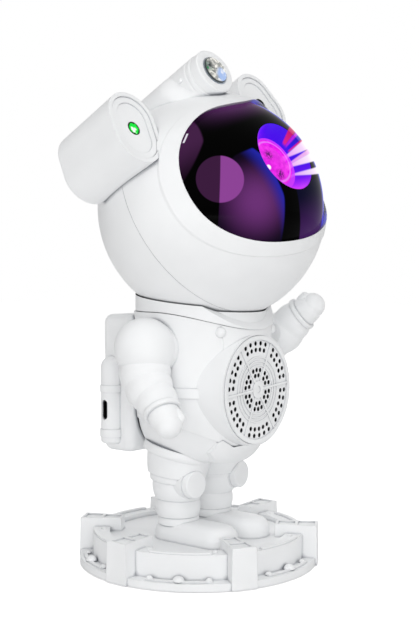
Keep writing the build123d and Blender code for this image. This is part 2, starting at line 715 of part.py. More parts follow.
def make_collar():
    """Neck ring with the ball seat for the helmet and the magnet carrier's well."""
    around = Pos(0, COLLAR_Y, 0)
    neck = Pos(HEAD_CENTRE.X, HEAD_CENTRE.Y, 0)
    skirt_radius = NECK_RADIUS - WALL - SEAT
    low = WELL_FLOOR_Z - WELL_WALL
    ring_part = (around * disc(COLLAR_RADIUS, low, COLLAR_TOP_Z + 4) - scoop())
    ring_part &= above_dip(COLLAR_SEAM_Z, COLLAR_DIP)
    skirt = Pos(0, TORSO_Y, 0) * ring(skirt_radius, skirt_radius - WELL_WALL, low, COLLAR_TOP_Z)
    skirt &= above_dip(COLLAR_SEAM_Z - COLLAR_SKIRT, COLLAR_DIP)
    well = neck * disc(WELL_RADIUS + RUNNING + WELL_WALL, low, COLLAR_SEAM_Z)
    body = ring_part + skirt + well
    hollow = around * disc(skirt_radius - WELL_WALL, low - 1, COLLAR_SEAM_Z + 1)
    hollow -= seat_sphere(SEAT_GAP + WELL_WALL)
    hollow -= well
    body -= hollow
    body -= seat_sphere(SEAT_GAP)
    body -= neck * disc(WELL_RADIUS + RUNNING, WELL_FLOOR_Z, COLLAR_SEAM_Z)
    body -= neck * disc(MAGNET_INNER, low - 1, COLLAR_SEAM_Z)
    return body.solids().sort_by(SortBy.VOLUME)[-1]


def make_neck_carrier():
    """Turntable under the helmet: a cup that follows the ball and holds the magnet."""
    neck = Pos(HEAD_CENTRE.X, HEAD_CENTRE.Y, 0)
    low = WELL_FLOOR_Z + CARRIER_LIFT
    cup = neck * disc(WELL_RADIUS, low, COLLAR_SEAM_Z - 3)
    cup -= seat_sphere(CUP_GAP)
    cup -= neck * disc(LEAD_HOLE_RADIUS, low - 1, COLLAR_SEAM_Z)
    cup -= neck * ring(MAGNET_OUTER + SEAT, MAGNET_INNER - SEAT, low - 1, low + MAGNET_THICK)
    return cup


def make_neck_magnet():
    """Ring magnet, glued up into the carrier."""
    low = WELL_FLOOR_Z + CARRIER_LIFT
    neck = Pos(HEAD_CENTRE.X, HEAD_CENTRE.Y, 0)
    return neck * ring(MAGNET_OUTER, MAGNET_INNER, low, low + MAGNET_THICK)


# ---------------------------------------------------------------- arms
def sleeve_line():
    """Curved centre line of the sleeve, about the shoulder's own centre."""
    return Spline(*SLEEVE_LINE, tangents=[(0, 0.1, -1), (-0.25, -0.65, -0.72)])


def make_sleeve():
    """Tapered sleeve with four soft folds between sharp creases, and its raised cuff."""
    line = sleeve_line()
    sections = []
    for index in range(FOLD_COUNT * FOLD_STEPS + 1):
        share = index / (FOLD_COUNT * FOLD_STEPS)
        swell = FOLD_RISE * sin(pi * (index % FOLD_STEPS) / FOLD_STEPS)
        radius = SLEEVE_RADIUS - SLEEVE_TAPER * share ** 2 - CREASE + swell
        sections.append(Plane(origin=line @ share, x_dir=(1, 0, 0), z_dir=line % share) * Circle(radius))
    end = Plane(origin=line @ 1, x_dir=(1, 0, 0), z_dir=line % 1).location
    cuff = barrel(CUFF_RADIUS, CUFF_RADIUS - 0.1, CUFF_WIDTH, 0.2)
    return loft(sections, ruled=True) + end * Pos(0, 0, -CUFF_BACK) * cuff


def along(start, end):
    """Local -Z leads from start to end."""
    return Plane(origin=start, x_dir=(1, 0, 0), z_dir=start - end).location


def mitten(radius, length):
    """Closed hand or finger of a glove: a bowed stub along -Z with a round end."""
    end = radius * GLOVE_TAPER
    stub = barrel(end, radius * 0.9, length - end, radius * 0.12)
    return Pos(0, 0, end - length) * (stub + Sphere(end))


def make_arm():
    """Right arm as it hangs, about the shoulder's own centre."""
    wrist = sleeve_line() @ 1
    arm = Sphere(SHOULDER_BALL) + make_sleeve()
    arm += along(wrist, HAND_END) * Pos(0, 0, 1) * mitten(HAND_RADIUS, HAND_LENGTH + 1)
    arm += along(THUMB_ROOT, THUMB_END) * mitten(THUMB_RADIUS, THUMB_LENGTH)
    inner = ARM_FACE_X - SHOULDER.X
    arm -= Pos(inner + 25, 0, -10) * Box(50, 100, 100)
    through = inner + 2 * WALL + MOVING + RUNNING
    peg = turned([
        (0, inner), (PEG_RADIUS, inner), (PEG_RADIUS, through), (PEG_FLANGE_RADIUS, through),
        (PEG_FLANGE_RADIUS, through + PEG_FLANGE_THICK), (0, through + PEG_FLANGE_THICK),
    ])
    return arm + Rot(0, 90, 0) * peg


def make_right_arm():
    """The arm hangs beside the body."""
    return Pos(*SHOULDER) * make_arm()


def make_left_arm():
    """The mirrored arm, swung forward and up."""
    arm = Rot(-ARM_RAISED, 0, 0) * make_arm()
    return mirror(Pos(*SHOULDER) * arm, Plane.YZ)


# ---------------------------------------------------------------- speaker
def grille_holes():
    """Hole centres: two outer rings and an inner cluster in each of the six sectors."""
    sector = 360 / SECTORS
    centres = []
    for radius, count, first in HOLE_RINGS:
        step = (sector - 2 * first) / (count - 1)
        for part_index in range(SECTORS):
            for index in range(count):
                angle = radians(part_index * sector + first + index * step)
                centres.append((radius * cos(angle), radius * sin(angle)))
    return centres


def make_speaker_grille():
    """Round grille with a raised rim, six spokes, raised rings and its holes."""
    outer = SPEAKER_RADIUS
    plate = turned([
        (0, 0), (outer - RIM_WIDTH, 0), (outer - RIM_WIDTH, RIM_RISE), (outer, RIM_RISE),
        (outer, -GRILLE_THICK), (0, -GRILLE_THICK),
    ])
    for radius in RAISED_RINGS:
        plate += ring(radius + RAISED_RING_WIDTH / 2, radius - RAISED_RING_WIDTH / 2, -0.2, 0.3)
    for index in range(SECTORS):
        rib = block(outer - RIM_WIDTH - 3.6, RIB_WIDTH, -0.2, RIB_RISE)
        plate += Rot(0, 0, index * 360 / SECTORS) * Pos((outer - RIM_WIDTH + 3.6) / 2, 0, 0) * rib
    plate += disc(HUB_RADIUS, -0.2, 0.5) - disc(1.6, 0.1, 1)
    hole = disc(HOLE_RADIUS, -GRILLE_THICK - 1, 2)
    plate -= [Pos(x, y, 0) * hole for x, y in grille_holes()]
    return speaker_place() * Rot(0, 0, GRILLE_TURN) * plate


def make_speaker_cloth():
    """Black dust cloth glued behind the grille."""
    front = -GRILLE_THICK - GLUE
    return speaker_place() * disc(CLOTH_RADIUS, front - CLOTH_THICK, front)


def driver_back():
    """Level of the driver's flange, behind the torso's ledge."""
    return -SPEAKER_DEPTH - WALL


def make_speaker_frame():
    """Pressed steel basket of the driver, screwed behind the ledge."""
    level = driver_back()
    low = level - BASKET_DEPTH
    basket = turned([
        (DRIVER_RADIUS, level), (DRIVER_RADIUS, level - BASKET_THICK),
        (DRIVER_RADIUS - 3.0, level - BASKET_THICK), (DRIVER_MAGNET_RADIUS, low), (5.4, low),
        (5.4, low + BASKET_THICK), (DRIVER_MAGNET_RADIUS - 0.6, low + BASKET_THICK),
        (DRIVER_RADIUS - 3.4, level),
    ])
    return speaker_place() * basket


def make_speaker_magnet():
    """Ferrite magnet and its pole behind the basket."""
    back = driver_back() - BASKET_DEPTH
    body = disc(DRIVER_MAGNET_RADIUS, back - DRIVER_MAGNET_THICK, back)
    return speaker_place() * (body + disc(POLE_RADIUS, back, back + 1.4))


def make_speaker_surround():
    """Rolled rubber edge between basket and cone."""
    level = driver_back()
    outline = [
        (DRIVER_RADIUS - 2.3, level), (DRIVER_RADIUS - 2.3, level + 0.8),
        (CONE_RADIUS + 0.2, level + 0.8), (CONE_RADIUS + 0.2, level),
    ]
    return speaker_place() * turned(outline)


def make_speaker_cone():
    """Paper cone with its dust cap."""
    level = driver_back() + 0.1
    cone = turned([
        (CONE_RADIUS, level), (CONE_RADIUS, level + 0.5), (5.6, level - 2.4), (0, level - 1.4),
        (0, level - 1.9), (5.4, level - 3.0),
    ])
    return speaker_place() * cone


# ---------------------------------------------------------------- backpack
def pack_place(z):
    """Local +Z leaves the back, origin on the rear face."""
    return Plane(origin=(0, PACK_REAR_Y, z), x_dir=(-1, 0, 0), z_dir=(0, 1, 0)).location


def tank(side):
    """Air tank at a rear corner of the backpack, round-topped and banded."""
    body = turned([(0, TANK_LOW), (TANK_RADIUS - 1, TANK_LOW), (TANK_RADIUS, TANK_LOW + 1),
                   (TANK_RADIUS, TANK_HIGH - TANK_RADIUS), (0, TANK_HIGH - TANK_RADIUS)])
    body += Pos(0, 0, TANK_HIGH - TANK_RADIUS) * Sphere(TANK_RADIUS)
    for low, high in TANK_BANDS:
        body += disc(TANK_RADIUS + TANK_BAND_RISE, low, high)
    return Pos(side * PACK_HALF, TANK_Y, 0) * body


def usb_slot(grow, depth):
    """Upright slot in the right tank, open towards -X."""
    mouth = PACK_HALF + TANK_RADIUS + 1
    place = Plane(origin=(-mouth, TANK_Y, USB_Z), x_dir=(0, 0, 1), z_dir=(1, 0, 0)).location
    outline = SlotOverall(USB_TALL + 2 * grow, USB_WIDE + 2 * grow)
    return place * extrude(outline, depth)


def make_backpack_shell():
    """Rounded box with the two tanks, open at the back for its cover."""
    size_y = PACK_REAR_Y - PACK_FRONT_Y
    body = Pos(0, PACK_FRONT_Y + size_y / 2, 0) * block(2 * PACK_HALF, size_y, PACK_LOW, PACK_HIGH)
    body = fillet(body.edges(), PACK_ROUND)
    body += tank(-1)
    body += tank(1)
    body -= torso_form(TUNIC_RISE + SEAT)
    body -= Pos(0, TORSO_Y, 0) * disc(WAIST_RADIUS + TUNIC_RISE + BELT_RISE + SEAT, BELT_LOW, BELT_HIGH)
    body -= Pos(0, COLLAR_Y, 0) * disc(COLLAR_RADIUS + MOVING, COLLAR_SEAM_Z - 3, COLLAR_TOP_Z)
    body -= pack_opening(WALL + PACK_LEDGE, PACK_PLATE)
    body -= pack_opening(WALL + 2 * PACK_LEDGE, PACK_REAR_Y - pack_floor_y())
    body -= usb_slot(0, USB_DEPTH + 1)
    body -= lead_place() * disc(LEAD_HOLE_RADIUS, 0, 14)
    return body.solids().sort_by(SortBy.VOLUME)[-1]


def pack_floor_y():
    """Inner face of the backpack's front wall."""
    return TORSO_Y + WAIST_RADIUS + TUNIC_RISE + WALL


def pack_opening(margin, depth):
    """Rounded rectangular hollow sunk into the backpack's rear face."""
    middle = (PACK_LOW + PACK_HIGH) / 2
    outline = RectangleRounded(
        2 * (PACK_HALF - margin), PACK_HIGH - PACK_LOW - 2 * margin, PACK_ROUND
    )
    return pack_place(middle) * Pos(0, 0, -depth) * extrude(outline, depth + 1)


def make_backpack_cover():
    """Flat rear cover with the four button holes."""
    middle = (PACK_LOW + PACK_HIGH) / 2
    margin = WALL + PACK_LEDGE + SEAT
    outline = RectangleRounded(
        2 * (PACK_HALF - margin), PACK_HIGH - PACK_LOW - 2 * margin, PACK_ROUND - SEAT
    )
    plate = pack_place(middle) * Pos(0, 0, -PACK_PLATE) * extrude(outline, PACK_PLATE)
    for index in range(len(BUTTON_NAMES)):
        place = pack_place(BUTTON_FIRST_Z - index * BUTTON_PITCH)
        plate -= place * disc(BUTTON_RADIUS + RUNNING, -PACK_PLATE - 1, 1)
    return plate


def make_button(index):
    """Push button with a flange that keeps it behind the cover."""
    face = -PACK_PLATE - SEAT
    button = disc(BUTTON_RADIUS, face - BUTTON_FLANGE, BUTTON_PROUD)
    button = chamfer(button.edges().group_by(Axis.Z)[-1], 0.4)
    button += disc(BUTTON_RADIUS + 0.9, face - BUTTON_FLANGE, face)
    return pack_place(BUTTON_FIRST_Z - index * BUTTON_PITCH) * button


def make_button_board():
    """Narrow board with one tact switch under each button."""
    top = -PACK_PLATE - SEAT - BUTTON_FLANGE - BUTTON_TRAVEL - MOVING
    switch = 0.7
    last = BUTTON_FIRST_Z - (len(BUTTON_NAMES) - 1) * BUTTON_PITCH
    middle = (BUTTON_FIRST_Z + last) / 2
    height = BUTTON_FIRST_Z - last + 10
    floor = pack_floor_y() - PACK_REAR_Y
    board = pack_place(middle) * Pos(0, 0, floor + BOARD_THICK / 2) * Box(12, height, BOARD_THICK)
    for index in range(len(BUTTON_NAMES)):
        place = pack_place(BUTTON_FIRST_Z - index * BUTTON_PITCH)
        board += place * disc(1.6, floor, min(top, floor + BOARD_THICK + switch))
    return board


def make_usb_socket():
    """Metal socket shell with its tongue, in the right tank."""
    outer = usb_slot(-0.08, USB_DEPTH + 0.9)
    inner = usb_slot(-0.08 - USB_WALL, USB_DEPTH - 0.2)
    mouth = usb_slot(3, 1.0 + 0.9)
    mouth_x = -(PACK_HALF + TANK_RADIUS) + 0.9
    tongue = Pos(mouth_x + 3.2, TANK_Y, USB_Z) * Box(4.6, 0.7, USB_TALL - 2.6)
    return (outer - inner - mouth) + tongue


# ---------------------------------------------------------------- head frame
def head_place():
    """Local frame of the head: +X its left, +Y its crown, +Z its line of sight."""
    level = Vector(1, 0, 0).rotate(Axis.Z, HEAD_YAW)
    ahead = Vector(0, -1, 0).rotate(Axis.Z, HEAD_YAW)
    gaze = ahead.rotate(Axis((0, 0, 0), level), -HEAD_PITCH)
    lateral = level.rotate(Axis((0, 0, 0), gaze), HEAD_LEAN)
    return Plane(origin=HEAD_CENTRE, x_dir=lateral, z_dir=gaze).location


HEAD = head_place()


def head_front():
    """Everything before the helmet's parting plane."""
    reach = 200.0
    return Pos(0, 0, reach / 2) * Box(reach, reach, reach)


def visor_prism(grow):
    """Column along the line of sight with the visor's outline, grown all round."""
    side = 1 + grow / VISOR_HALF_WIDTH
    rise = 1 + grow / VISOR_HALF_HEIGHT
    half = [(x * side, y * rise) for x, y in VISOR_OUTLINE]
    mirrored = [(-x, y) for x, y in half[-2:0:-1]]
    outline = Spline(*half, *mirrored, periodic=True)
    return extrude(make_face(outline), HELMET_RADIUS + 10)


def helmet_seam():
    """Fine groove all round the helmet where its two shells meet."""
    return ring(HELMET_RADIUS + 1, HELMET_RADIUS - SEAM_DEPTH, -HELMET_SEAM / 2, HELMET_SEAM / 2)


def make_helmet_front():
    """Face shell: visor opening, raised band around it and the ledge behind the visor."""
    shell = Sphere(HELMET_RADIUS) - Sphere(HELMET_RADIUS - HELMET_WALL)
    band = Sphere(HELMET_RADIUS + BAND_RISE) & visor_prism(BAND_WIDTH)
    ledge = Sphere(HELMET_RADIUS) & visor_prism(LIP_WIDTH)
    ledge -= Sphere(VISOR_RADIUS - VISOR_THICK - LIP_BACK)
    shell = (shell + (band - Sphere(HELMET_RADIUS - 0.5)) + ledge) & head_front()
    pocket = visor_prism(0) - Sphere(VISOR_RADIUS - VISOR_THICK)
    shell -= pocket
    shell -= visor_prism(-LIP_WIDTH)
    return (shell - helmet_seam()) - lamp_lead_hole()


def make_helmet_rear():
    """Back shell with a lip inside the seam and the posts of the projector frame."""
    inner = HELMET_RADIUS - HELMET_WALL
    shell = (Sphere(HELMET_RADIUS) - Sphere(inner)) - head_front()
    lip = Sphere(inner - SEAT) - Sphere(inner - SEAT - 1.2)
    root = Sphere(inner + 0.4) - Sphere(inner - 1)
    lip = (lip & block(200, 200, -3, 3)) + (root & block(200, 200, -3, -1.2))
    shell += lip - visor_prism(LIP_WIDTH + 1.5)
    for angle in POST_ANGLES:
        centre = Rot(0, 0, angle) * Pos(POST_CIRCLE, 0, 0)
        shell += (centre * disc(POST_RADIUS, -60, REAR_PLATE - SEAT)) & Sphere(HELMET_RADIUS - 0.5)
    return (shell - helmet_seam()) - lamp_lead_hole()


def lamp_lead(top):
    """Round column from inside the helmet up to a height over the head's centre."""
    return Rot(-90, 0, 0) * Pos(0, -LAMP_LEAD_BACK, 0) * disc(LAMP_LEAD_RADIUS, 40, top)


def lamp_lead_hole():
    """Hole for the lead of the head lamp, through the helmet under its housing."""
    return lamp_lead(60)


def make_visor():
    """Dark curved visor with its round window."""
    glass = Sphere(VISOR_RADIUS) - Sphere(VISOR_RADIUS - VISOR_THICK)
    glass &= visor_prism(-SEAT)
    return glass - disc(WINDOW_RADIUS, 0, HELMET_RADIUS + 5)


def make_light_tunnel():
    """Funnel between the visor's window and the projection lens."""
    mouth = WINDOW_RADIUS - SEAT
    back = FRONT_PLATE + PLATE_THICK
    return turned([
        (mouth, TUNNEL_FRONT), (mouth - 0.4, TUNNEL_FRONT), (TUNNEL_END_RADIUS - 0.4, LENS_SEAT + LENS_EDGE),
        (TUNNEL_END_RADIUS, LENS_SEAT + LENS_EDGE), (TUNNEL_END_RADIUS, LENS_SEAT),
        (LENS_RADIUS - 1.6, LENS_SEAT), (LENS_RADIUS - 1.6, back),
        (TUNNEL_END_RADIUS + TUNNEL_WALL, back), (TUNNEL_END_RADIUS + TUNNEL_WALL, LENS_SEAT + LENS_EDGE),
        (mouth, TUNNEL_FRONT - 2.2),
    ])


def make_projection_lens():
    """Plano-convex front lens."""
    chord = LENS_RADIUS
    radius = (chord ** 2 + LENS_DOME ** 2) / (2 * LENS_DOME)
    top = LENS_SEAT + LENS_EDGE + LENS_DOME
    dome = Pos(0, 0, top - radius) * Sphere(radius)
    lens = (dome & disc(chord, LENS_SEAT + LENS_EDGE, top + 1)) + disc(chord, LENS_SEAT, LENS_SEAT + LENS_EDGE)
    guard = TUNNEL_END_RADIUS - 0.5 - SEAT
    return lens & (disc(chord, LENS_SEAT, LENS_SEAT + LENS_EDGE) + disc(guard, LENS_SEAT, top + 1))


def wheel_centre():
    """Axle of the ripple wheel, beside the optical axis."""
    return Pos(WHEEL_X, 0, 0)


def drive_distance():
    """Distance between wheel axle and motor shaft."""
    return TOOTH_MODULE * (WHEEL_TEETH + PINION_TEETH) / 2


def motor_centre():
    """Motor shaft, at the wheel's rim."""
    angle = radians(DRIVE_ANGLE)
    return Pos(WHEEL_X + drive_distance() * cos(angle), drive_distance() * sin(angle), 0)


def make_projector_frame():
    """Two plates on four pillars that carry tunnel, axle, condenser and motor."""
    hub = motor_centre().position
    low, high = REAR_PLATE, REAR_PLATE + PLATE_THICK
    rear = disc(REAR_PLATE_RADIUS, low, high)
    front = disc(FRONT_PLATE_RADIUS, FRONT_PLATE, FRONT_PLATE + PLATE_THICK)
    frame = rear + front
    for angle in PILLAR_ANGLES:
        frame += Rot(0, 0, angle) * Pos(PILLAR_CIRCLE, 0, 0) * disc(PILLAR_RADIUS, low, FRONT_PLATE + 1)
    tube = ring(CONDENSER_RADIUS + 1.2, CONDENSER_RADIUS + 0.05, high, high + CONDENSER_THICK + 1)
    frame += tube
    frame -= disc(CONDENSER_RADIUS - 0.8, low - 1, high + 1)
    frame -= disc(BEAM_RADIUS, FRONT_PLATE - 1, FRONT_PLATE + PLATE_THICK + 1)
    frame -= wheel_centre() * disc(AXLE_RADIUS + 0.02, low - 1, FRONT_PLATE + PLATE_THICK + 1)
    frame -= Pos(hub.X, hub.Y, 0) * disc(MOTOR_SHAFT_RADIUS + 1.0, low - 1, high + 1)
    return frame


def make_condenser_lens():
    """Small lens in the tube before the light source."""
    low = REAR_PLATE + PLATE_THICK
    dome = Pos(0, 0, low - 6) * Sphere(12.0)
    return disc(CONDENSER_RADIUS, low, low + CONDENSER_THICK + 2) & dome


def make_led_board():
    """Round board with three coloured light sources, behind the rear plate."""
    top = REAR_PLATE
    board = disc(LED_BOARD_RADIUS, top - BOARD_THICK, top)
    for index in range(3):
        place = Rot(0, 0, 120 * index + 30) * Pos(3.4, 0, 0)
        board += place * block(3.2, 3.2, top - 0.5, top + 1.0)
    return board


def make_heat_sink():
    """Finned aluminium block behind the LED board."""
    top = REAR_PLATE - BOARD_THICK
    sink = block(SINK_SIDE * 0.8, SINK_SIDE * 0.8, top - SINK_DEPTH, top)
    count = 5
    pitch = SINK_SIDE * 0.8 / count
    for index in range(count - 1):
        offset = (index - (count - 2) / 2) * pitch
        sink -= Pos(offset, 0, 0) * block(pitch * 0.5, SINK_SIDE, top - SINK_DEPTH - 1, top - 2.4)
    return sink


def involute_point(base_radius, radius, turn, hand):
    """Point of an involute flank at a radius; turn is the flank's start angle."""
    pressure = acos(base_radius / radius)
    angle = turn + hand * (tan(pressure) - pressure)
    return radius * cos(angle), radius * sin(angle)


def gear_outline(teeth):
    """Involute gear as one closed outline, with room for running backlash."""
    pitch_radius = TOOTH_MODULE * teeth / 2
    base_radius = pitch_radius * cos(radians(PRESSURE_ANGLE))
    tip_radius = pitch_radius + ADDENDUM * TOOTH_MODULE
    root_radius = pitch_radius - DEDENDUM * TOOTH_MODULE
    start_radius = max(base_radius, root_radius) + 0.001
    flank = tan(radians(PRESSURE_ANGLE)) - radians(PRESSURE_ANGLE)
    half_tooth = pi / (2 * teeth) - BACKLASH / (2 * pitch_radius) / 2
    radii = [start_radius, (start_radius + tip_radius) / 2, tip_radius]
    points = []
    for index in range(teeth):
        middle = 2 * pi * index / teeth
        right = middle - half_tooth - flank
        left = middle + half_tooth + flank
        points.append((root_radius * cos(right), root_radius * sin(right)))
        points += [involute_point(base_radius, radius, right, 1) for radius in radii]
        points += [involute_point(base_radius, radius, left, -1) for radius in reversed(radii)]
        points.append((root_radius * cos(left), root_radius * sin(left)))
    return make_face(Polyline(*points, close=True))


def wheel_rim_inner():
    """Inner radius of the ripple wheel's rim."""
    return TOOTH_MODULE * WHEEL_TEETH / 2 - DEDENDUM * TOOTH_MODULE - WHEEL_RIM


def make_ripple_wheel():
    """Toothed carrier of the ripple glass, turning on its axle."""
    low, high = WHEEL_BACK, WHEEL_BACK + WHEEL_THICK
    rim_inner = wheel_rim_inner()
    teeth = Rot(0, 0, DRIVE_ANGLE) * gear_outline(WHEEL_TEETH)
    wheel = Pos(0, 0, low) * extrude(teeth, WHEEL_THICK)
    wheel -= disc(rim_inner, low - 1, high + 1)
    wheel += ring(rim_inner + 0.5, rim_inner - 1.0, low, low + WHEEL_WEB)
    wheel += disc(WHEEL_HUB_RADIUS, low, high)
    for index in range(3):
        spoke = block(rim_inner - 1, 1.6, low, low + WHEEL_WEB)
        wheel += Rot(0, 0, index * 120) * Pos(rim_inner / 2, 0, 0) * spoke
    wheel -= disc(AXLE_RADIUS + RUNNING, low - 1, high + 1)
    return wheel_centre() * wheel


def make_ripple_glass():
    """Rippled glass ring that bends the beam into drifting clouds."""
    rim_inner = wheel_rim_inner()
    low = WHEEL_BACK + WHEEL_WEB
    return wheel_centre() * ring(rim_inner - SEAT, WHEEL_HUB_RADIUS + SEAT, low, low + GLASS_THICK)


def make_wheel_axle():
    """Steel pin through both plates of the frame."""
    return wheel_centre() * disc(AXLE_RADIUS, REAR_PLATE, FRONT_PLATE + PLATE_THICK)


def make_motor_pinion():
    """Motor shaft with its pinion, in mesh with the wheel's rim."""
    low = WHEEL_BACK - 0.5
    thick = WHEEL_THICK + 1.0
    gap_to_wheel = DRIVE_ANGLE + 180 + 180 / PINION_TEETH
    pinion = Rot(0, 0, gap_to_wheel) * gear_outline(PINION_TEETH)
    drive = Pos(0, 0, low) * extrude(pinion, thick)
    drive += disc(MOTOR_SHAFT_RADIUS, REAR_PLATE - 5, low + thick + 1)
    return motor_centre() * drive


def make_nebula_motor():
    """Small gear motor on the back of the rear plate."""
    body = disc(MOTOR_RADIUS, REAR_PLATE - MOTOR_LENGTH, REAR_PLATE)
    body -= disc(MOTOR_SHAFT_RADIUS + RUNNING, REAR_PLATE - 5.2, REAR_PLATE + 1)
    return motor_centre() * body


def make_head_keeper():
    """Steel dish inside the helmet, held by the magnet below it."""
    outer = HELMET_RADIUS - HELMET_WALL - 0.05
    dish = Sphere(outer) - Sphere(outer - KEEPER_THICK)
    column = Pos(0, 0, -outer) * Cylinder(KEEPER_RADIUS, 2 * outer - 40)
    return Pos(*HEAD_CENTRE) * (dish & column)


# ---------------------------------------------------------------- pods
def pod_section(inset, side):
    """Oval section of a pod, drawn smaller by an inset."""
    outline = SlotCenterToCenter(POD_LONG, POD_WIDTH - 2 * inset)
    turn = 90 + side * POD_TURN
    return Pos(side * POD_X, POD_Y) * Rot(0, 0, turn) * outline


def pod_column(inset, side, low, high):
    """Straight length of the pod's section."""
    return Pos(0, 0, low) * extrude(pod_section(inset, side), high - low)


def make_pod(side):
    """Laser pod: an oval tube with a closed back, seated on the helmet's side."""
    body = pod_column(0, side, POD_BACK, POD_FRONT)
    body = fillet(body.edges().group_by(Axis.Z)[0], POD_ROUND)
    mouth = POD_FRONT - POD_PLATE_SUNK - POD_PLATE
    body -= pod_column(POD_WALL + POD_LEDGE, side, POD_BACK + WALL, mouth + 1)
    body -= pod_column(POD_WALL, side, mouth, POD_FRONT + 1)
    body -= Sphere(HELMET_RADIUS + 0.02)
    return body.solids().sort_by(SortBy.VOLUME)[-1]


def make_pod_face(side):
    """End plate of a pod with a sunk oval and the laser's aperture."""
    high = POD_FRONT - POD_PLATE_SUNK
    inset = POD_WALL + SEAT
    plate = pod_column(inset, side, high - POD_PLATE, high)
    plate -= pod_column(inset + POD_OVAL_MARGIN, side, high - POD_OVAL_SUNK, high + 1)
    plate -= Pos(side * POD_X, POD_Y, 0) * disc(APERTURE_RADIUS, high - 3, high + 1)
    return plate - Sphere(HELMET_RADIUS + 0.1)


def make_laser(side):
    """Laser module behind the end plate."""
    front = POD_FRONT - POD_PLATE_SUNK - POD_PLATE
    body = disc(LASER_RADIUS, front - LASER_LENGTH, front)
    body += disc(APERTURE_RADIUS - SEAT, front, front + 0.6)
    return Pos(side * POD_X, POD_Y, 0) * body


def make_laser_window(side):
    """Diffraction grating in the aperture."""
    front = POD_FRONT - POD_PLATE_SUNK - POD_PLATE
    return Pos(side * POD_X, POD_Y, 0) * disc(APERTURE_RADIUS - SEAT, front + 0.6, front + 1.0)


# ---------------------------------------------------------------- head lamp
def make_lamp_housing():
    """Round lamp barrel on a saddle that follows the helmet."""
    barrel_body = disc(LAMP_RADIUS, LAMP_BACK, LAMP_SHOULDER)
    barrel_body = fillet(barrel_body.edges().group_by(Axis.Z)[-1], 1.2)
    barrel_body += Pos(0, 0, LAMP_BACK) * Sphere(LAMP_RADIUS)
    saddle = Pos(0, SADDLE_Y - LAMP_Y, 0) * disc(SADDLE_RADIUS, SADDLE_BACK, SADDLE_FRONT)
    saddle = fillet(saddle.edges().group_by(Axis.Z)[-1], 5.0)
    body = Pos(0, LAMP_Y, 0) * (barrel_body + saddle)
    body -= Pos(0, LAMP_Y, 0) * disc(LAMP_BORE_RADIUS, LAMP_BORE_BACK, LAMP_SHOULDER + 1)
    body -= Sphere(HELMET_RADIUS + 0.02)
    body -= lamp_lead(LAMP_Y - 4)
    return body.solids().sort_by(SortBy.VOLUME)[-1]


def make_lamp_bezel():
    """Front ring of the lamp with its spigot in the barrel."""
    spigot = LAMP_BORE_RADIUS - SEAT
    bezel = turned([
        (LAMP_RIM_RADIUS, LAMP_SHOULDER), (LAMP_RIM_RADIUS, LAMP_FRONT - 0.5),
        (LAMP_RIM_RADIUS - 0.5, LAMP_FRONT), (LAMP_HOLE_RADIUS + 0.3, LAMP_FRONT),
        (LAMP_HOLE_RADIUS, LAMP_FRONT - 0.4), (LAMP_HOLE_RADIUS, CRYSTAL_BACK),
        (LAMP_HOLE_RADIUS - 1.0, CRYSTAL_BACK), (LAMP_HOLE_RADIUS - 1.0, LAMP_SHOULDER - LAMP_SPIGOT),
        (spigot, LAMP_SHOULDER - LAMP_SPIGOT), (spigot, LAMP_SHOULDER),
    ])
    return Pos(0, LAMP_Y, 0) * bezel - Sphere(HELMET_RADIUS + SEAT)


def make_lamp_crystal():
    """Faceted lens: a prism of eight sides narrowing to a small table."""
    radius = LAMP_HOLE_RADIUS - SEAT
    girdle = CRYSTAL_BACK + CRYSTAL_GIRDLE
    base = disc(radius, CRYSTAL_BACK, girdle)
    crown = Pos(0, 0, girdle) * extrude(
        RegularPolygon(radius, CRYSTAL_SIDES), CRYSTAL_THICK - CRYSTAL_GIRDLE, taper=CRYSTAL_SLOPE
    )
    return Pos(0, LAMP_Y, 0) * (base + crown)


def make_lamp_led():
    """Small board with the lamp's LED, behind the bezel's spigot."""
    high = LAMP_SHOULDER - LAMP_SPIGOT
    board = disc(LAMP_BORE_RADIUS - SEAT, high - BOARD_THICK, high)
    board += disc(2.5, high - 0.5, high + 2.0)
    return Pos(0, LAMP_Y, 0) * board - Sphere(HELMET_RADIUS + SEAT)


# ---------------------------------------------------------------- writing
def write(name, shape):
    """Write one node, as one solid or as a group of separate solids."""
    shapes = shape if isinstance(shape, (list, tuple)) else [shape]
    solids = [solid for item in shapes for solid in item.solids()]
    node = solids[0] if len(solids) == 1 else Compound(children=solids)
    node.label = name
    export_step(node, f"parts/{name}.step")


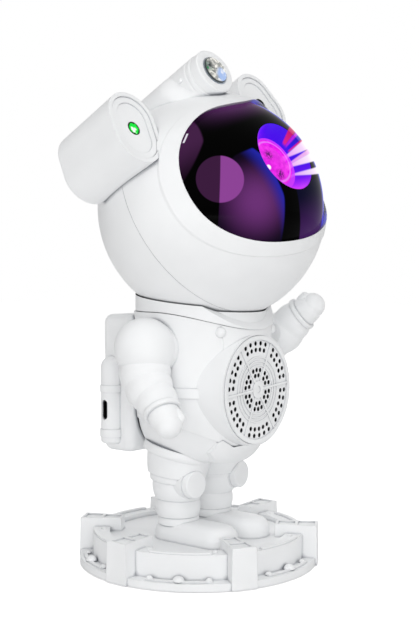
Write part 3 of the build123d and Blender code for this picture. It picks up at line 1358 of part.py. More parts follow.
def write_all():
    """Write every node of the object."""
    write("base_ring", make_base_ring())
    write("base_cover", make_base_cover())
    write("base_pad", make_base_pad())
    write("base_screws", make_base_screws())
    write("leg_screws", make_leg_screws())
    right_leg = make_right_leg()
    write("right_leg", right_leg)
    write("left_leg", mirror(right_leg, Plane.YZ))
    write("torso_front", make_torso_front())
    write("torso_rear", make_torso_rear())
    write("main_board", make_main_board())
    write("collar", make_collar())
    write("neck_carrier", make_neck_carrier())
    write("neck_magnet", make_neck_magnet())
    write("right_arm", make_right_arm())
    write("left_arm", make_left_arm())
    write("speaker_grille", make_speaker_grille())
    write("speaker_cloth", make_speaker_cloth())
    write("speaker_frame", make_speaker_frame())
    write("speaker_magnet", make_speaker_magnet())
    write("speaker_surround", make_speaker_surround())
    write("speaker_cone", make_speaker_cone())
    write("backpack_shell", make_backpack_shell())
    write("backpack_cover", make_backpack_cover())
    write("usb_socket", make_usb_socket())
    write("button_board", make_button_board())
    for index, name in enumerate(BUTTON_NAMES):
        write(name, make_button(index))
    for name, shape in (
        ("helmet_front", make_helmet_front()), ("helmet_rear", make_helmet_rear()),
        ("visor", make_visor()), ("light_tunnel", make_light_tunnel()),
        ("projection_lens", make_projection_lens()), ("projector_frame", make_projector_frame()),
        ("condenser_lens", make_condenser_lens()), ("led_board", make_led_board()),
        ("heat_sink", make_heat_sink()), ("ripple_wheel", make_ripple_wheel()),
        ("ripple_glass", make_ripple_glass()), ("wheel_axle", make_wheel_axle()),
        ("motor_pinion", make_motor_pinion()), ("nebula_motor", make_nebula_motor()),
        ("right_pod", make_pod(-1)), ("left_pod", make_pod(1)),
        ("right_pod_face", make_pod_face(-1)), ("left_pod_face", make_pod_face(1)),
        ("lamp_housing", make_lamp_housing()), ("lamp_bezel", make_lamp_bezel()),
        ("lamp_crystal", make_lamp_crystal()), ("lamp_led", make_lamp_led()),
    ):
        write(name, HEAD * shape)
    write("laser_modules", [HEAD * make_laser(side) for side in (-1, 1)])
    write("laser_windows", [HEAD * make_laser_window(side) for side in (-1, 1)])
    write("head_keeper", make_head_keeper())


write_all()
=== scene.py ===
import math
import bpy
from mathutils import Matrix, Vector


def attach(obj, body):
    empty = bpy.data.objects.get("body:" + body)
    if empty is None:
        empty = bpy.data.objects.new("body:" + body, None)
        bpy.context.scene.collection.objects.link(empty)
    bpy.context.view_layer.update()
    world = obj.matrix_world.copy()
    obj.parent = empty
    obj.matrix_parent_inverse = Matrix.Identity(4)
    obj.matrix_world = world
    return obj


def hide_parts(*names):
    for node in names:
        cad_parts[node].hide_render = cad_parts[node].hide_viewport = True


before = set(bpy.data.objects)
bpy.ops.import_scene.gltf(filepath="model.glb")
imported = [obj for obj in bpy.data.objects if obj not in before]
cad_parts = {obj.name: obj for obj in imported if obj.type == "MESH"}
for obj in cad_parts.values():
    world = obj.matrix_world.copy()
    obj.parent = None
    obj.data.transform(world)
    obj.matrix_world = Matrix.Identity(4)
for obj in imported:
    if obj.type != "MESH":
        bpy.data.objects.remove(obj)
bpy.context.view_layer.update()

# ---- The view -------------------------------------------------------------------------------
# A long lens stands low in front of the figure's right side, so that the wall of the base,
# the side of the backpack and the whole visor are seen together.
VIEW_PLACE = (-0.3743, -0.3085, 0.13265)
VIEW_PITCH = 87.25
VIEW_TURN = -51.1
FOCAL_LENGTH = 60.12
SENSOR_WIDTH = 36.0
NEAREST_SEEN = 0.01

camera_data = bpy.data.cameras.new("camera")
camera_data.lens = FOCAL_LENGTH
camera_data.sensor_width = SENSOR_WIDTH
camera_data.clip_start = NEAREST_SEEN
camera = bpy.data.objects.new("camera", camera_data)
camera.location = VIEW_PLACE
camera.rotation_euler = (math.radians(VIEW_PITCH), 0, math.radians(VIEW_TURN))
bpy.context.scene.collection.objects.link(camera)
bpy.context.scene.camera = camera
bpy.context.scene.view_settings.view_transform = "Standard"

# ---- Base ring ------------------------------------------------------------------------------
# The heavy foot of the projector: a round tray with a low curb, a flange and six blocks, one
# injection moulding in white ABS. Its mould is polished, so the skin is even and half glossy.
MM = 0.001              # metres in a millimetre; the object's sizes are written in millimetres
MIX_LOW = 6             # a Mix node's sockets for colours, which share their names with others
MIX_HIGH = 7
MIX_RESULT = 2
EDGE_SAMPLES = 4


def linear(code):
    """An sRGB hex code as linear colour."""
    colour = []
    for start in (1, 3, 5):
        share = int(code[start:start + 2], 16) / 255
        colour.append(share / 12.92 if share <= 0.04045 else ((share + 0.055) / 1.055) ** 2.4)
    return colour + [1.0]


def add(tree, kind, settings=None, links=None):
    """Adds one shader node: settings are its properties or socket values, links feed its inputs."""
    made = tree.nodes.new(kind)
    for key, value in (settings or {}).items():
        if isinstance(key, int) or key in made.inputs:
            made.inputs[key].default_value = value
        else:
            setattr(made, key, value)
    for key, source in (links or {}).items():
        tree.links.new(source, made.inputs[key])
    return made


def calc(tree, operation, *values):
    """One math node over numbers and sockets."""
    made = add(tree, "ShaderNodeMath", {"operation": operation})
    for index, value in enumerate(values):
        if isinstance(value, (int, float)):
            made.inputs[index].default_value = value
        else:
            tree.links.new(value, made.inputs[index])
    return made.outputs[0]


def blank(name):
    """A new material with an empty Principled surface; returns material, tree and surface node."""
    made = bpy.data.materials.new(name)
    made.use_nodes = True
    tree = made.node_tree
    return made, tree, tree.nodes["Principled BSDF"]


def noise(tree, size_mm, detail=2.0):
    """Noise whose features measure about size_mm on the real object."""
    place = add(tree, "ShaderNodeTexCoord").outputs["Object"]
    settings = {"Scale": 1 / (size_mm * MM), "Detail": detail}
    return add(tree, "ShaderNodeTexNoise", settings, {"Vector": place}).outputs[0]


def between(tree, factor, low, high, low_at=0.3, high_at=0.7, kind="LINEAR"):
    """Maps a factor to a value: low where the factor is low_at, high where it is high_at."""
    settings = {
        "interpolation_type": kind,
        "From Min": low_at, "From Max": high_at, "To Min": low, "To Max": high,
    }
    return add(tree, "ShaderNodeMapRange", settings, {"Value": factor}).outputs[0]


def tint(tree, factor, low, high):
    """Mixes two colours by a factor; each is a hex code or a socket."""
    made = add(tree, "ShaderNodeMix", {"data_type": "RGBA"}, {0: factor})
    for index, colour in ((MIX_LOW, low), (MIX_HIGH, high)):
        if isinstance(colour, str):
            made.inputs[index].default_value = linear(colour)
        else:
            tree.links.new(colour, made.inputs[index])
    return made.outputs[MIX_RESULT]


def bumped(tree, surface, height, depth_mm, round_mm=0.0):
    """Puts a height pattern, and rounded edges if asked, into the surface's normal."""
    made = add(tree, "ShaderNodeBump", {"Distance": depth_mm * MM, "Strength": 1.0}, {"Height": height})
    if round_mm:
        edge = add(tree, "ShaderNodeBevel", {"samples": EDGE_SAMPLES, "Radius": round_mm * MM})
        tree.links.new(edge.outputs[0], made.inputs["Normal"])
    tree.links.new(made.outputs[0], surface.inputs["Normal"])


FLOW_CLOUD = 28         # size of the clouds that the flow of the melt leaves in the shade
GLOSS_CLOUD = 9         # size of the duller and shinier areas
MOULD_EDGE = 0.3        # radius of the edges as they leave the mould
CREVICE_REACH = 2.4     # how far out of a corner the painted shade reaches
CREVICE_SHARES = (0.2, 0.75)    # the painted shade is full where no more than the first share is open
CREVICE_SAMPLES = 8


def moulded(name, light, dark, rough, grain_mm, grain_depth_mm, crevice=None):
    """Moulded plastic: shade drift from flow, uneven gloss, fine grain, soft edges, painted shade in
    crevices.
    """
    made, tree, surface = blank(name)
    drift = between(tree, noise(tree, FLOW_CLOUD, 3.0), 0.0, 1.0)
    colour = tint(tree, drift, dark, light)
    # Painted shade: an ambient occlusion mask darkens corners and grooves towards the crevice colour.
    if crevice:
        settings = {"samples": CREVICE_SAMPLES, "Distance": CREVICE_REACH * MM}
        depth = add(tree, "ShaderNodeAmbientOcclusion", settings)
        open_share = between(tree, depth.outputs["AO"], 0.0, 1.0, *CREVICE_SHARES)
        colour = tint(tree, open_share, crevice, colour)
    tree.links.new(colour, surface.inputs["Base Color"])
    tree.links.new(between(tree, noise(tree, GLOSS_CLOUD, 4.0), *rough), surface.inputs["Roughness"])
    bumped(tree, surface, noise(tree, grain_mm), grain_depth_mm, MOULD_EDGE)
    return made


def dress(material, *nodes):
    """Gives CAD nodes a material."""
    for name in nodes:
        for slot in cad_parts[name].material_slots:
            slot.material = material


# White ABS, injection moulded in a polished tool: light scatters in it, its edges are soft and
# painted shade greys it where two faces meet.
white_abs = moulded(
    "abs_injection_moulded_white", "#f6f7f8", "#f0f1f2",
    rough=(0.28, 0.40), grain_mm=0.5, grain_depth_mm=0.010, crevice="#a2a5ab",
)
dress(white_abs, "base_ring")

# ---- Rivets of the base ---------------------------------------------------------------------
# Domes that are moulded on the curb and on the flange between each two blocks, to look like the
# rivets of a launch pad: two on the curb, and a large one between two small ones on the flange.
SECTORS = 6
CURB_TOP = 14.1
FLANGE_SEAT = 4.1       # inside the flange's raised step
CURB_DOME = (1.35, 0.85)        # radius and rise
SMALL_DOME = (1.5, 1.1)
LARGE_DOME = (2.5, 1.9)
CURB_CIRCLE = 43.3      # the domes' distance from the axis
SMALL_CIRCLE = 50.2
LARGE_CIRCLE = 50.4
CURB_SPREAD = 18.6      # degrees from the middle of the sector
SMALL_SPREAD = 14.5
DOME_STEPS = (24, 16)
DOME_SMOOTH = 50        # degrees


def dome(name, radius, rise, sink=0.2):
    """Round dome that stands on the ground plane; its foot is sunk a little."""
    bpy.ops.object.select_all(action="DESELECT")
    bpy.ops.mesh.primitive_uv_sphere_add(segments=DOME_STEPS[0], ring_count=DOME_STEPS[1], radius=radius * MM)
    made = bpy.context.object
    made.name = name
    bpy.ops.object.mode_set(mode="EDIT")
    bpy.ops.mesh.select_all(action="SELECT")
    bpy.ops.transform.resize(value=(1, 1, (rise + sink) / radius))
    bpy.ops.mesh.bisect(plane_co=(0, 0, 0), plane_no=(0, 0, 1), clear_inner=True, use_fill=True)
    bpy.ops.object.mode_set(mode="OBJECT")
    made.data.transform(Matrix.Translation((0, 0, -sink * MM)))
    bpy.ops.object.shade_smooth_by_angle(angle=math.radians(DOME_SMOOTH))
    return made


def ring_place(radius, angle, height):
    """Place on a circle around the origin; angle 0 is in front, and it grows to the figure's left."""
    turn = Matrix.Rotation(math.radians(angle), 4, "Z")
    return turn @ Matrix.Translation((0, -radius * MM, height * MM))


def repeated(pattern, name, places):
    """Joins copies of a pattern, each with its own mesh, into one piece."""
    copies = []
    for place in places:
        copy = pattern.copy()
        copy.data = pattern.data.copy()
        copy.data.transform(place)
        bpy.context.scene.collection.objects.link(copy)
        copies.append(copy)
    bpy.data.objects.remove(pattern)
    bpy.ops.object.select_all(action="DESELECT")
    for copy in copies:
        copy.select_set(True)
    bpy.context.view_layer.objects.active = copies[0]
    bpy.ops.object.join()
    made = bpy.context.object
    made.name = name
    return made


def finished(piece, material, body):
    """Dresses a new piece and lets it ride on a body."""
    piece.data.materials.clear()
    piece.data.materials.append(material)
    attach(piece, body)


sectors = [index * 360 / SECTORS for index in range(SECTORS)]
pairs = [(sector, side) for sector in sectors for side in (-1, 1)]
curb_rivets = repeated(
    dome("curb_rivet", *CURB_DOME), "curb_rivets",
    [ring_place(CURB_CIRCLE, sector + side * CURB_SPREAD, CURB_TOP) for sector, side in pairs],
)
small_rivets = repeated(
    dome("small_rivet", *SMALL_DOME), "small_flange_rivets",
    [ring_place(SMALL_CIRCLE, sector + side * SMALL_SPREAD, FLANGE_SEAT) for sector, side in pairs],
)
large_rivets = repeated(
    dome("large_rivet", *LARGE_DOME), "large_flange_rivets",
    [ring_place(LARGE_CIRCLE, sector, FLANGE_SEAT) for sector in sectors],
)
for piece in (curb_rivets, small_rivets, large_rivets):
    finished(piece, white_abs, "stand")

# ---- Underside of the base ------------------------------------------------------------------
# A grey ABS plate closes the tray. Sunk in it lies a die-cut disc of black foam rubber that
# keeps the toy from sliding and hides the four plated screws.

# Grey ABS from a mould that isn't polished: even and dull.
grey_abs = moulded(
    "abs_injection_moulded_grey", "#c9cbcd", "#c0c2c4", rough=(0.45, 0.6), grain_mm=0.4, grain_depth_mm=0.02,
)
dress(grey_abs, "base_cover")

# Foam rubber, cut from a sheet: nearly black, without shine, with fine open cells.
foam_rubber = moulded(
    "foam_rubber_die_cut_black", "#2b2b2d", "#202022", rough=(0.8, 0.95), grain_mm=0.25, grain_depth_mm=0.05,
)
dress(foam_rubber, "base_pad")

TARNISH_CLOUD = 6       # size of the darker and lighter areas
RUBBED_CLOUD = 2        # size of the duller and shinier areas
TOOL_MARK = 0.4
TOOL_MARK_DEPTH = 0.01


def metal(name, light, dark, rough):
    """Bare or plated metal with tool marks."""
    made, tree, surface = blank(name)
    surface.inputs["Metallic"].default_value = 1.0
    drift = between(tree, noise(tree, TARNISH_CLOUD, 4.0), 0.0, 1.0)
    tree.links.new(tint(tree, drift, dark, light), surface.inputs["Base Color"])
    tree.links.new(between(tree, noise(tree, RUBBED_CLOUD, 4.0), *rough), surface.inputs["Roughness"])
    bumped(tree, surface, noise(tree, TOOL_MARK), TOOL_MARK_DEPTH)
    return made


# Zinc plated steel: a cool, cloudy grey with a dull shine.
zinc = metal("steel_zinc_plated", "#c4c6c8", "#a8aaad", rough=(0.28, 0.45))
dress(zinc, "base_screws", "leg_screws")

# ---- Legs -----------------------------------------------------------------------------------
# Each leg is one moulding, from the padded hem of the trunks down to the boot, with rolls of
# quilted fabric modelled in the plastic and a round knee disc. Two screws hold it from below.
dress(white_abs, "right_leg", "left_leg")

# ---- Body -----------------------------------------------------------------------------------
# Front and back shell of the torso, the same white ABS, screwed together around the main board.
# The belt, the edge of the tunic, the bib and its two buttons are moulded in the skin.
dress(white_abs, "torso_front", "torso_rear")

# Glass fibre laminate, coated with green solder resist: dark green, smooth and glossy.
board_laminate = moulded(
    "laminate_green_solder_resist", "#0f5a32", "#0a4426",
    rough=(0.25, 0.35), grain_mm=0.3, grain_depth_mm=0.01,
)
dress(board_laminate, "main_board", "button_board")

# ---- Loudspeaker ----------------------------------------------------------------------------
# A round grille is pressed into the drum on the belly. Behind its holes lies a disc of black
# cloth that keeps dust out, and behind that a small driver in a lacquered steel basket.
GRILLE_FACE = -33.4
SKIN = 0.3              # depth of the white front; the painted shade starts behind it
PAINT_EDGE = 0.03       # half the width over which white turns to black


def object_axes(tree):
    """Node that gives the three Object coordinates of each point, in metres."""
    return add(tree, "ShaderNodeSeparateXYZ", None, {0: add(tree, "ShaderNodeTexCoord").outputs["Object"]})


def shaded_bores(tree):
    """Mask of the painted shade: 1 behind the grille's skin, in the bores, 0 on its front."""
    edge = GRILLE_FACE + SKIN
    depth = object_axes(tree).outputs["Y"]
    return between(tree, depth, 0.0, 1.0, (edge - PAINT_EDGE) * MM, (edge + PAINT_EDGE) * MM)


def with_painted_shade(material, name, paint, mask_of):
    """A copy of a material whose colour gives way to painted shade where the mask is 1."""
    made = material.copy()
    made.name = name
    tree = made.node_tree
    surface = tree.nodes["Principled BSDF"]
    plain = surface.inputs["Base Color"].links[0].from_socket
    tree.links.new(tint(tree, mask_of(tree), plain, paint), surface.inputs["Base Color"])
    return made


# The same ABS with painted shade: the bores of the holes are painted black, as dark as the shade in them.
grille_abs = with_painted_shade(white_abs, "abs_moulded_white_with_painted_shade_in_bores", "#050506", shaded_bores)
dress(grille_abs, "speaker_grille")

THREAD = 0.35           # repeat of the weave
THREAD_DEPTH = 0.05


def woven(name, light, dark):
    """Plain woven cloth: two crossed sets of threads across the speaker's face."""
    made, tree, surface = blank(name)
    place = object_axes(tree)
    pitch = 2 * math.pi / (THREAD * MM)
    warp = calc(tree, "SINE", calc(tree, "MULTIPLY", place.outputs["X"], pitch))
    weft = calc(tree, "SINE", calc(tree, "MULTIPLY", place.outputs["Z"], pitch))
    weave = between(tree, calc(tree, "MULTIPLY", warp, weft), 0.0, 1.0, -1.0, 1.0)
    tree.links.new(tint(tree, weave, dark, light), surface.inputs["Base Color"])
    surface.inputs["Roughness"].default_value = 0.95
    surface.inputs["Specular IOR Level"].default_value = 0.1
    surface.inputs["Sheen Weight"].default_value = 0.1
    bumped(tree, surface, weave, THREAD_DEPTH)
    return made


# Black polyester cloth, woven open so that sound passes: no shine, only a trace of the threads.
dress(woven("polyester_woven_black", "#101012", "#040405"), "speaker_cloth")

# Sheet steel, pressed and lacquered: black with a soft shine.
lacquered_steel = moulded(
    "steel_pressed_black_lacquer", "#17181a", "#0f1012", rough=(0.3, 0.45), grain_mm=0.3, grain_depth_mm=0.01,
)
dress(lacquered_steel, "speaker_frame")

# Ferrite, sintered from powder: dark grey, dull and slightly gritty.
ferrite = moulded(
    "ferrite_sintered", "#2a2a2c", "#1d1d1f", rough=(0.6, 0.8), grain_mm=0.2, grain_depth_mm=0.03,
)
dress(ferrite, "speaker_magnet")

# Moulded rubber: black with a satin skin.
rubber = moulded(
    "rubber_moulded_black", "#141414", "#0c0c0c", rough=(0.55, 0.7), grain_mm=0.3, grain_depth_mm=0.02,
)
dress(rubber, "speaker_surround")

# Paper pulp, pressed and dyed: black, matt and a little fibrous.
paper = moulded(
    "paper_pressed_black", "#19191b", "#111113", rough=(0.75, 0.9), grain_mm=0.35, grain_depth_mm=0.04,
)
dress(paper, "speaker_cone")

# ---- Backpack -------------------------------------------------------------------------------
# The pack is a rounded white box with an air tank at each rear corner. Its flat cover carries
# four push buttons of light grey ABS, and the charging socket looks out of the right tank.
dress(white_abs, "backpack_shell", "backpack_cover")

# Steel, tinned and stamped: a mid grey with a blurred shine.
dress(metal("steel_tinned_stamped", "#6c6e72", "#4c4e52", rough=(0.3, 0.45)), "usb_socket")

# Light grey ABS from a finely etched mould: a little duller than the white shells.
button_abs = moulded(
    "abs_injection_moulded_button_grey", "#d4d6d8", "#cacccf",
    rough=(0.35, 0.45), grain_mm=0.4, grain_depth_mm=0.01,
)
dress(button_abs, "power_button", "nebula_button", "laser_button", "sound_button")

# ---- Arms -----------------------------------------------------------------------------------
# Each arm is a single white moulding with soft folds in its sleeve, a cuff and a mitten. A
# flanged peg snaps it into the shoulder, so it turns and stays where it is put.
dress(white_abs, "right_arm", "left_arm")

# ---- Neck -----------------------------------------------------------------------------------
# The head rests in the dished collar and is held by a ring magnet, nickel plated, that rides in
# a grey acetal carrier; a steel keeper inside the helmet answers it.
HEAD_CENTRE = Vector((0, -7.89, 159.69))
DISH_RADIUS = 51.5
DISH_SHADE_EDGE = (0.05, 0.1)        # the painted shade ends between these distances outside the dish


def dish(tree):
    """Mask of the painted shade: 1 on the round seat of the head, 0 on the rest of the collar."""
    place = add(tree, "ShaderNodeTexCoord").outputs["Object"]
    made = add(tree, "ShaderNodeVectorMath", {"operation": "DISTANCE", 1: HEAD_CENTRE * MM}, {0: place})
    ends = [(DISH_RADIUS + edge) * MM for edge in DISH_SHADE_EDGE]
    return between(tree, made.outputs["Value"], 1.0, 0.0, *ends)


# White ABS whose dish is painted black: painted shade in the gap under the head.
dress(with_painted_shade(white_abs, "abs_moulded_white_with_painted_shade_in_dish", "#060607", dish), "collar")

# Grey acetal, moulded: waxy and even, with a soft shine.
grey_acetal = moulded(
    "acetal_moulded_grey", "#a4a8ac", "#989ca0", rough=(0.4, 0.5), grain_mm=0.4, grain_depth_mm=0.01,
)
dress(grey_acetal, "neck_carrier")

# Neodymium under bright nickel: warm grey and nearly a mirror. The keeper is zinc plated.
dress(metal("neodymium_nickel_plated", "#b9b7b2", "#a3a19c", rough=(0.15, 0.3)), "neck_magnet")
dress(zinc, "head_keeper")

# ---- Projector inside the helmet ------------------------------------------------------------
# A black frame carries a lamp on an aluminium sink, the condenser, the rippled glass wheel with
# its gear rim, and the small motor and pinion that turn it.

# Black ABS, moulded: matt, so that it swallows stray light.
black_abs = moulded(
    "abs_injection_moulded_black", "#141416", "#0d0d0f", rough=(0.5, 0.65), grain_mm=0.4, grain_depth_mm=0.02,
)
dress(black_abs, "projector_frame")

# Ivory acetal, moulded: off-white, waxy and even.
ivory_acetal = moulded(
    "acetal_moulded_ivory", "#e8e8e4", "#dcdcd8", rough=(0.35, 0.45), grain_mm=0.4, grain_depth_mm=0.01,
)
dress(ivory_acetal, "ripple_wheel")

# Bare metals: extruded aluminium is pale and dull, hobbed and turned brass is yellow and bright,
# the ground axle gleams, and the motor's deep-drawn can is a duller grey.
dress(metal("aluminium_extruded", "#c6c8ca", "#aeb0b2", rough=(0.3, 0.45)), "heat_sink")
dress(metal("brass_hobbed", "#c89a4a", "#a87c34", rough=(0.2, 0.35)), "motor_pinion")
dress(metal("steel_ground", "#bcbec0", "#a2a4a6", rough=(0.15, 0.3)), "wheel_axle")
dress(metal("steel_deep_drawn", "#acaeb0", "#929496", rough=(0.25, 0.4)), "nebula_motor")
dress(metal("brass_turned", "#c0985a", "#a17c44", rough=(0.2, 0.35)), "laser_modules")

# Aluminium boards under white resist: nearly white, smooth and glossy.
lamp_board = moulded(
    "aluminium_board_white_resist", "#e6e8e8", "#d8dada", rough=(0.3, 0.4), grain_mm=0.3, grain_depth_mm=0.01,
)
dress(lamp_board, "led_board", "lamp_led")

# ---- Helmet ---------------------------------------------------------------------------------
# Two white ABS half shells meet in a fine groove. The front one has the raised band around the
# visor. The oval laser pods at the sides are separate mouldings with an inset end plate.
dress(
    white_abs, "helmet_front", "helmet_rear", "right_pod", "left_pod", "right_pod_face", "left_pod_face",
)

# The head's own axes: left is its left side, up its crown, ahead its line of sight.
HEAD_YAW = math.radians(-5.3)
HEAD_PITCH = math.radians(25.3)
HEAD_LEAN = math.radians(14.2)
level = Matrix.Rotation(HEAD_YAW, 3, "Z") @ Vector((1, 0, 0))
ahead = Matrix.Rotation(-HEAD_PITCH, 3, level) @ (Matrix.Rotation(HEAD_YAW, 3, "Z") @ Vector((0, -1, 0)))
left = Matrix.Rotation(HEAD_LEAN, 3, ahead) @ level
up = ahead.cross(left)


def head_matrix(x, y, z):
    """Turns a piece that is modelled about +Z into the head's line of sight, at a head place."""
    place = (HEAD_CENTRE + left * x + up * y + ahead * z) * MM
    turn = Matrix((left, up, ahead)).transposed().to_4x4()
    return Matrix.Translation(place) @ turn


def head_axes(tree):
    """Head coordinates in millimetres of each point of a piece, as a vector."""
    place = add(tree, "ShaderNodeTexCoord").outputs["Object"]
    shares = []
    for axis in (left, up, ahead):
        along = add(tree, "ShaderNodeVectorMath", {"operation": "DOT_PRODUCT", 1: axis}, {0: place})
        scaled = calc(tree, "MULTIPLY", along.outputs["Value"], 1 / MM)
        shares.append(calc(tree, "SUBTRACT", scaled, axis.dot(HEAD_CENTRE)))
    return add(tree, "ShaderNodeCombineXYZ", None, dict(enumerate(shares))).outputs[0]


# ---- Laser apertures ------------------------------------------------------------------------
# Behind each aperture sits a grating film over the green laser: a bright spot in a dark bore,
# white hot in the middle.
POD_X = 45.5
POD_Y = 36.2
FILM_Z = 19.2
SPOT_RADIUS = 2.6
SPOT_EDGE = 0.3
LEFT_SPOT_SHORT = 1.1   # the left spot is smaller by this much
HOT_SHIFT = (-0.5, -0.7)        # the white middle sits off the spot's centre
HOT_RADII = (1.0, 1.5)  # it is full within the first and gone beyond the second
RAGGED_SIZE = 1.1       # size and half depth of the waves in the spot's edge
RAGGED_DEPTH = 0.5
LIT_GRAIN = 0.6         # the faint waves in the lit pieces' skin
LIT_GRAIN_DEPTH = 0.01


def distance(tree, place, x, y, z):
    """Distance in millimetres from a point given in head coordinates."""
    made = add(tree, "ShaderNodeVectorMath", {"operation": "DISTANCE", 1: (x, y, z)}, {0: place})
    return made.outputs["Value"]


def lit(name, colour_of, strength, roughness, base="#050505", gloss=0.2):
    """Plastic or glass with an emitted colour from colour_of: lamp light behind it for some pieces, painted
    light, shade and reflections for others.
    """
    made, tree, surface = blank(name)
    surface.inputs["Base Color"].default_value = linear(base)
    surface.inputs["Roughness"].default_value = roughness
    surface.inputs["Specular IOR Level"].default_value = gloss
    tree.links.new(colour_of(tree, head_axes(tree)), surface.inputs["Emission Color"])
    surface.inputs["Emission Strength"].default_value = strength
    bumped(tree, surface, noise(tree, LIT_GRAIN), LIT_GRAIN_DEPTH)
    return made


def laser_light(tree, place):
    """Green spots, white near their middle, with a dark rim."""
    near_right = distance(tree, place, -POD_X, POD_Y, FILM_Z)
    near_left = calc(tree, "ADD", distance(tree, place, POD_X, POD_Y, FILM_Z), LEFT_SPOT_SHORT)
    near = calc(tree, "MINIMUM", near_right, near_left)
    grain = between(tree, noise(tree, RAGGED_SIZE), -RAGGED_DEPTH, RAGGED_DEPTH)
    ragged = calc(tree, "ADD", near, grain)
    aside, below = HOT_SHIFT
    hot = [distance(tree, place, side * POD_X + aside, POD_Y + below, FILM_Z) for side in (-1, 1)]
    core = between(tree, calc(tree, "ADD", calc(tree, "MINIMUM", *hot), grain), 1.0, 0.0, *HOT_RADII)
    rim = between(tree, ragged, 1.0, 0.0, SPOT_RADIUS - SPOT_EDGE, SPOT_RADIUS)
    return tint(tree, rim, "#0a0f0c", tint(tree, core, "#00ea3c", "#f4fff6"))


# Grating film, embossed polyester: it takes the laser's green evenly.
grating_film = lit("polyester_grating_film_green", laser_light, strength=1.0, roughness=0.2)
dress(grating_film, "laser_windows")

# ---- Visor ----------------------------------------------------------------------------------
# A deep smoked acrylic dome, moulded glossy and nearly black. Painted reflections of the lit tunnel
# and of coloured studio lamps lie on it as soft purple patches that stay where they are.


def over_line(tree, place, start, end, soft):
    """1 on the left of a line from start to end in the head's face plane, 0 on its right."""
    along = Vector((end[0] - start[0], end[1] - start[1]))
    normal = Vector((-along.y, along.x, 0)).normalized()
    made = add(tree, "ShaderNodeVectorMath", {"operation": "DOT_PRODUCT", 1: normal}, {0: place})
    offset = normal.x * start[0] + normal.y * start[1]
    return between(tree, made.outputs["Value"], 0.0, 1.0, offset - soft, offset + soft, "SMOOTHSTEP")


def product(tree, *factors):
    """Product of any number of factors."""
    made = factors[0]
    for factor in factors[1:]:
        made = calc(tree, "MULTIPLY", made, factor)
    return made


def patch(tree, place, corners, soft):
    """1 inside a convex outline, given counterclockwise, 0 outside it, with soft edges."""
    ends = corners[1:] + corners[:1]
    return product(tree, *[over_line(tree, place, start, end, soft) for start, end in zip(corners, ends)])


def spot(tree, place, centre, full, gone):
    """1 within the radius full of a point, fading to 0 at the radius gone."""
    return between(tree, distance(tree, place, *centre), 1.0, 0.0, full, gone, "SMOOTHSTEP")


def over_plane(tree, place, point, normal, soft):
    """1 on the side of a plane that its normal points to, given in head coordinates."""
    facing = Vector(normal).normalized()
    made = add(tree, "ShaderNodeVectorMath", {"operation": "DOT_PRODUCT", 1: facing}, {0: place})
    offset = facing.dot(Vector(point))
    return between(tree, made.outputs["Value"], 0.0, 1.0, offset - soft, offset + soft, "SMOOTHSTEP")


# Lines, outlines and points in head coordinates. A band of painted purple reflection fills the top of
# the dome, under the helmet's brow. The corner at its right end reaches further down and holds a thin
# painted glint, a painted highlight.
BROW_LINE = ((0, 25.5), (1, 25.5))
BROW_MIDDLE = (0, 30, 39)
CORNER_OUTLINE = [(-44, 5), (-29.6, 18.6), (-25.8, 26.0), (-23, 34), (-46, 34)]
CORNER_FOOT = ((-44, 13), (-30, 13))
GLINT_OUTLINE = [(-33.7, 21.7), (-30.2, 24.7), (-30.5, 25.05), (-34.0, 22.05)]

# The field of painted reflection on the figure's right cheek is purple in the middle and blue towards
# the window. A painted reflection of a softbox lies in it as a disc. Painted shade beyond a plane dims
# half of the disc and hides the part of the field that lies beyond it.
FIELD_OUTLINE = [(-50, -34), (-15.9, -34), (-12.3, -16), (-15.5, 4), (-17, 7), (-25, 7), (-50, -5)]
FIELD_MIDDLE = (-24.5, -13.5, 41)
BLUE_LINE = ((-13.5, -24), (-20, 8))
DISC_CENTRE = (-33.5, 1.0, 36.7)
SHADE_EDGE_NORMAL = (0.66, -0.4935, 0.566)

# The painted reflection on the chin is dark blue under the window and turns purple down towards the rim.
CHIN_OUTLINE = [(-4.4, -14), (-4.6, -36), (30, -36), (30, -12)]
DUSK_LINE = ((-10, -26), (30, -22))

# A painted reflection of a blue strip lamp beside the figure makes a soft band down the left of the
# dome. It lies between two parallel planes and stays in the left half.
STRIP_FACING = (0.781, 0.161, -0.604)
STRIP_START = (-8.6, -1.8, 6.6)
STRIP_END = (0.0, 0.0, 0.0)
STRIP_SIDE = (12, 0, 0)


